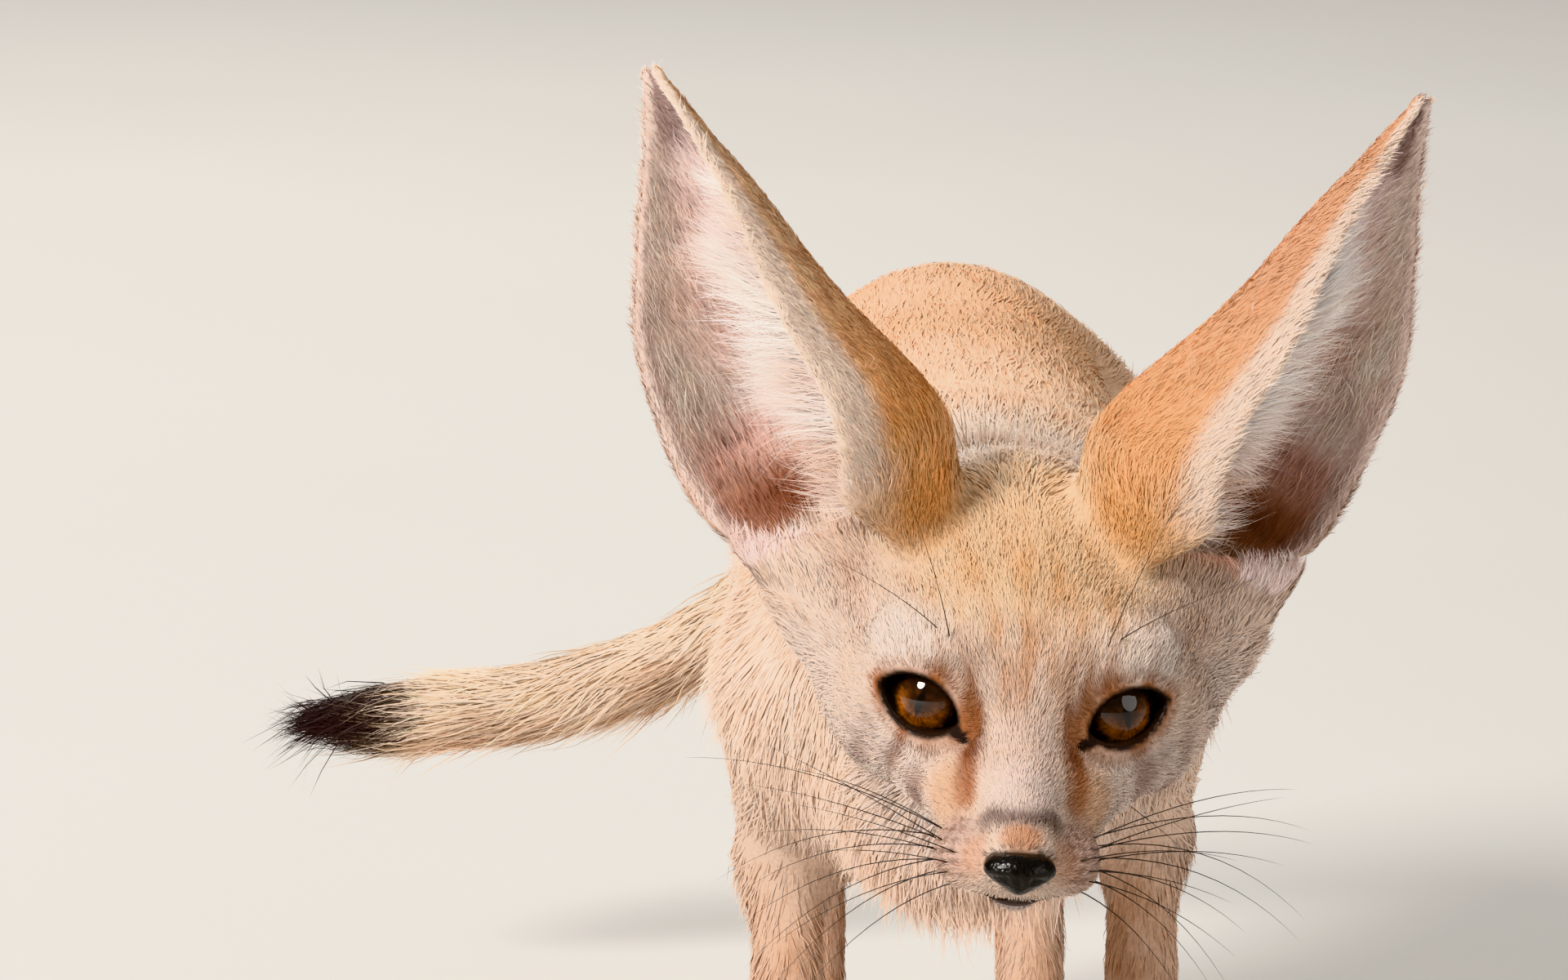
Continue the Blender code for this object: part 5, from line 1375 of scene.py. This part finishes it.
def unwrapped(points, faces):
    """An unwrap of the skin's own shape: the nearest triangle of a thinned copy for each face,
    and that copy's corners in space and on the map."""
    mesh = bpy.data.meshes.new("unwrap")
    mesh.from_pydata(points.tolist(), [], faces.tolist())
    thin = put("unwrap", mesh)
    modifier = thin.modifiers.new("thin", "DECIMATE")
    modifier.ratio = THIN_TRIANGLES / (2 * len(faces))
    bpy.context.view_layer.objects.active = thin
    thin.select_set(True)
    bpy.ops.object.modifier_apply(modifier="thin")
    bpy.ops.object.mode_set(mode="EDIT")
    bpy.ops.mesh.select_all(action="SELECT")
    bpy.ops.mesh.quads_convert_to_tris()
    bpy.ops.uv.smart_project(angle_limit=math.radians(66), island_margin=0.002)
    bpy.ops.object.mode_set(mode="OBJECT")
    mesh = thin.data
    co = read(mesh.vertices, "co", 3).reshape(-1, 3)
    tri = read(mesh.loops, "vertex_index", 1, int).reshape(-1, 3)
    corners, flat = co[tri], read(mesh.uv_layers[0].data, "uv", 2).reshape(-1, 3, 2)
    tree = BVHTree.FromPolygons(co.tolist(), tri.tolist())
    centres = points[faces].mean(1)
    nearest = np.array([tree.find_nearest(c)[2] for c in centres])
    bpy.data.objects.remove(thin)
    return corners, flat, nearest


def flat_places(places, corners, flat):
    """Where points fall on the map, in the plane of their own triangle of the thinned copy."""
    a, ab, ac = corners[:, 0], corners[:, 1] - corners[:, 0], corners[:, 2] - corners[:, 0]
    d = places - a
    aa, bb, cc = (ab * ab).sum(1), (ab * ac).sum(1), (ac * ac).sum(1)
    da, dc = (d * ab).sum(1), (d * ac).sum(1)
    under = np.maximum(aa * cc - bb * bb, 1e-20)
    v, w = (cc * da - bb * dc) / under, (aa * dc - bb * da) / under
    v, w = np.clip(v, -0.5, 1.5), np.clip(w, -0.5, 1.5)
    return flat[:, 0] + (flat[:, 1] - flat[:, 0]) * v[:, None] + (flat[:, 2] - flat[:, 0]) * w[:, None]


# Build
FLESH = [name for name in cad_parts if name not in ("eye_left", "eye_right", "nose")]
HEAD_STEP, BODY_STEP, NOSE_STEP = 0.0008, 0.0017, 0.00022
SEAM_Y, SEAM_LAP, SEAM_STEP = -0.076, 0.0016, 0.0003


def make_skin():
    """The head in fine cells and the rest in coarse ones, overlapping a little on the neck."""
    def head_part(p):
        return np.maximum(skin_field(p), p[:, 1] - SEAM_Y)

    def body_part(p):
        return np.maximum(skin_field(p) + SEAM_STEP * (p[:, 1] < SEAM_Y), -(p[:, 1] - SEAM_Y + SEAM_LAP))

    head_points, head_faces = sparse_surface(head_part, (-0.068, -0.202, 0.090), (0.084, -0.070, 0.274), HEAD_STEP)
    body_points, body_faces = sparse_surface(body_part, (-0.152, -0.084, -0.006), (0.062, 0.234, 0.204), BODY_STEP)
    return np.concatenate((head_points, body_points)), np.concatenate((head_faces, body_faces + len(head_points)))


points, faces = make_skin()
coat = Coat(points, faces)
skin_colours = np.ones((len(points), 4))
q = in_head(points)
skin_colours[:, :3] = coat_colours(points) * (0.92 - 0.12 * head_share(q))[:, None]
wet_lips = fall(lip_gap(q), 0.0004, 0.0010) * (q[:, 1] < -0.010)
skin_colours[:, 3] = np.maximum(fall(eye_gap(q), 0.0001, 0.0006), wet_lips) * head_share(q)
corners, flat, nearest = unwrapped(points, faces)
per_corner = np.repeat(nearest, 4)
skin_map = flat_places(points[faces.ravel()], corners[per_corner], flat[per_corner])
skin = add_mesh("skin", points, faces, coat_material("skin_fur", skin=True), "coat", skin_colours, skin_map)
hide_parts(*FLESH)
fur_material = coat_material("coat_hair")


def add_hair(name, parts, slot="coat"):
    """One piece of coat, each hair with a small patch of the map where its root stands."""
    p, f, c, quads, normals, pers = join_hair(parts)
    first = np.concatenate(([0], np.cumsum(pers)[:-1]))
    roots, owner = p[first], nearest[quads[first]]
    centre = flat_places(roots, corners[owner], flat[owner])
    which = np.repeat(np.arange(len(pers)), pers)
    turn = (np.arange(len(p)) - first[which]) / pers[which] * 2 * math.pi
    uv = unit(centre[which] + ROOT_PATCH * np.stack((np.cos(turn), np.sin(turn)), -1))
    add_mesh(name, p, f, fur_material, slot, c, uv[f.ravel()], normals)


rng = np.random.default_rng(5)


def some(count):
    """All of the hairs: the count given, as a whole number."""
    return int(count * (1.0))


def across_cup(p, _):
    """The long hairs of the ear's front rim, which lie across the cup."""
    q = in_head(p)
    way = np.zeros_like(q)
    for side in ("left", "right"):
        mine = (q[:, 0] < 0) == (side == "right")
        _, axis, opens, across = EAR_FRAMES[side]
        share = ear_places(q, side)[0]
        lean = 0.10 + 0.55 * rise(share, 0.25, 0.75)
        way[mine] = (across * 0.90 + opens * 0.05 + axis * lean[:, None])[mine]
    way = way @ TURN.T
    return straight(way)


def cup_front(p, _):
    """The way out of the ear's cup."""
    q = in_head(p)
    out = np.where(q[:, :1] < 0, EAR_FRAMES["right"][2][None], EAR_FRAMES["left"][2][None])
    return (out * 0.8 + np.array((0, -0.6, 0))) @ TURN.T


def cup_lift(p, n):
    """Hair on the cup's own walls leans out of the cup."""
    return n * 0.45 + cup_front(p, n) * 0.75


def cup_root(p):
    """Where the long hairs of the ear's cup are rooted."""
    q, keep = in_head(p), np.zeros(len(p))
    for side in ("left", "right"):
        on_ear, inside, share, turn = ear_place(q, side)
        band = 0.25 + unit(np.sin((share - 0.02) * 26))
        here = (on_ear > 0.5) * inside * (share > 0.10) * (share < 0.76) * (turn < -0.60) * (turn > -0.99)
        keep = np.maximum(keep, here * band)
    return keep


def cup_reach(p):
    """How many times the cup's own hair the long hairs measure."""
    q = in_head(p)
    return 4.7 * (1 - 0.55 * rise(ear_share(q), 0.40, 0.75))


def cup_white(p):
    q = in_head(p)
    dull = unit(0.35 + 0.7 * noise(q, 420, 61)) * 0.5
    low = fall(ear_share(q), 0.16, 0.40) * unit(0.6 + 0.5 * noise(q, 300, 67))
    white = paint(np.tile(daylight(253, 243, 238), (len(p), 1)), dull, daylight(226, 190, 172))
    return paint(white, low * 0.8, daylight(206, 158, 124))


add_hair("fur_muzzle", [grow(coat, "muzzle", some(56000), 2, rng, lift=0.50, clump=5, deep=0.60)])
add_hair("fur_face", [grow(coat, "face", some(64000), 2, rng, lift=0.42, clump=7, deep=0.56)])
add_hair("fur_crown", [grow(coat, "crown", some(38000), 3, rng, lift=0.30, clump=8, deep=0.60)])
add_hair("fur_ear_backs", [grow(coat, "earback", some(62000), 2, rng, lift=0.34)], "ear_back")
add_hair("fur_ear_cups", [
    grow(coat, "earcup", some(42000), 2, rng, lift=0.30, deep=0.98, faces_to=cup_lift),
    grow(coat, "earcup", some(11000), 3, rng, lift=0.0, deep=0.86, width=0.60, clump=6, faces_to=cup_front,
         chosen=cup_root(coat.centre), way_of=across_cup, length=cup_reach(coat.centre), pale=cup_white),
], "pale_coat")
add_hair("fur_neck", [grow(coat, "neck", some(30000), 3, rng, lift=0.13, spread=0.6, length=0.95,
                           steady=0.45, deep=0.90)])
add_hair("fur_body", [grow(coat, "body", some(62000), 2, rng, lift=0.09, spread=0.5, width=1.25,
                           steady=0.40, deep=0.93)])
add_hair("fur_legs", [grow(coat, "legs", some(36000), 2, rng, lift=0.20, spread=0.7, width=1.2,
                           steady=0.7, deep=0.74)])
add_hair("fur_tail", [grow(coat, "tail", some(26000), 3, rng, lift=0.26, spread=0.8, clump=10,
                           steady=0.5, deep=0.82)])

eye_amber = eye_material()
for side, sign in (("left", 1), ("right", -1)):
    make_eye(side, sign, eye_amber)
nose_middle = np.array(NOSE_AT)
nose_points, nose_faces = sparse_surface(nose_field, nose_middle - 0.010, nose_middle + 0.010, NOSE_STEP)
nose = add_mesh("nose_pad", from_head(nose_points), nose_faces, nose_material(), "nose")
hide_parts("nose")
whisker_black = horn_material("whisker_black", (0.006, 0.005, 0.004), (0.03, 0.022, 0.018))
add_mesh("whiskers", *tubes(whisker_paths(np.random.default_rng(9)), 5), whisker_black, "dark_tip")
claw_horn = horn_material("claw_horn", (0.03, 0.02, 0.015), (0.16, 0.11, 0.08))
add_mesh("claws", *tubes(claw_paths(), 8), claw_horn, "dark_tip")


# Stage
def make_floor():
    """A pale floor that curves up far off on every side."""
    bend = [(3.5 + 2.5 * math.sin(a), 2.5 - 2.5 * math.cos(a)) for a in np.linspace(0, math.pi / 2, 14)]
    profile = [(0.6, 0.0), (1.6, 0.0)] + bend + [(6.0, 5.0)]
    around, below = 64, -0.0002
    turns = [2 * math.pi * k / around for k in range(around)]
    verts = [(0.0, 0.0, below)]
    for r, z in profile:
        verts += [(r * math.cos(turn), r * math.sin(turn), z + below) for turn in turns]
    quads = [(0, 1 + k, 1 + (k + 1) % around) for k in range(around)]
    for i in range(len(profile) - 1):
        for k in range(around):
            a, b = 1 + i * around + k, 1 + i * around + (k + 1) % around
            quads.append((a, a + around, b + around, b))
    mesh = bpy.data.meshes.new("floor")
    mesh.from_pydata(verts, [], quads)
    for polygon in mesh.polygons:
        polygon.use_smooth = True
    material, tree, shader, place = new_material("floor_plain")
    tone = noise_node(tree, place, 3.0, 2.0)
    pale = ramp(tree, tone, ((0.2, (0.60, 0.585, 0.565)), (0.8, (0.63, 0.615, 0.595))))
    tree.links.new(pale, shader.inputs["Base Color"])
    constants(shader, Roughness=0.9, Specular_IOR_Level=0.2)
    mesh.materials.append(material)
    put("floor", mesh)


def add_light(name, at, aim, size, watts, colour):
    data = bpy.data.lights.new(name, "AREA")
    data.shape, data.size, data.energy, data.color = "DISK", size, watts, colour
    light = put(name, data)
    light.location = at
    light.rotation_euler = (Vector(aim) - Vector(at)).to_track_quat("-Z", "Y").to_euler()


# The camera: how far off and how far down it looks, its lens and frame in pixels, and where the frame
# shows the middle of the head.
CAMERA_AWAY, CAMERA_DOWN = 1.2, math.radians(12)
LENS_PIXELS, FRAME_PIXELS, HEAD_PIXEL, SENSOR = 8571, (1920, 1200), (1253, 865), 36.0


def make_camera(mid):
    data = bpy.data.cameras.new("camera")
    data.lens, data.sensor_width = LENS_PIXELS / FRAME_PIXELS[0] * SENSOR, SENSOR
    data.clip_start, data.clip_end = 0.05, 60.0
    camera = put("camera", data)
    view = Vector((0, math.cos(CAMERA_DOWN), -math.sin(CAMERA_DOWN)))
    up = Vector((0, math.sin(CAMERA_DOWN), math.cos(CAMERA_DOWN)))
    right, down = (pixel - size / 2 for pixel, size in zip(HEAD_PIXEL, FRAME_PIXELS))
    camera.location = (mid - view * CAMERA_AWAY - Vector((1, 0, 0)) * CAMERA_AWAY * right / LENS_PIXELS
                       + up * CAMERA_AWAY * down / LENS_PIXELS)
    camera.rotation_euler = (math.pi / 2 - CAMERA_DOWN, 0, 0)
    bpy.context.scene.camera = camera


make_floor()
mid = Vector(HEAD_AT) + Vector(SHIFT)
add_light("key", mid + Vector((-1.25, -1.15, 1.20)), mid, 0.7, 60, (1.0, 0.965, 0.92))
add_light("fill", mid + Vector((1.7, -1.2, 0.7)), mid, 1.8, 13, (1.0, 0.985, 0.97))
add_light("back", mid + Vector((-0.6, 1.7, 1.5)), mid, 1.2, 34, (1.0, 0.96, 0.90))
world = bpy.data.worlds.new("studio")
world.use_nodes = True
sky = world.node_tree.nodes["Background"]
sky.inputs["Color"].default_value, sky.inputs["Strength"].default_value = (1.0, 0.985, 0.965, 1.0), 0.38
bpy.context.scene.world = world
bpy.context.scene.view_settings.view_transform = "Khronos PBR Neutral"
make_camera(mid)
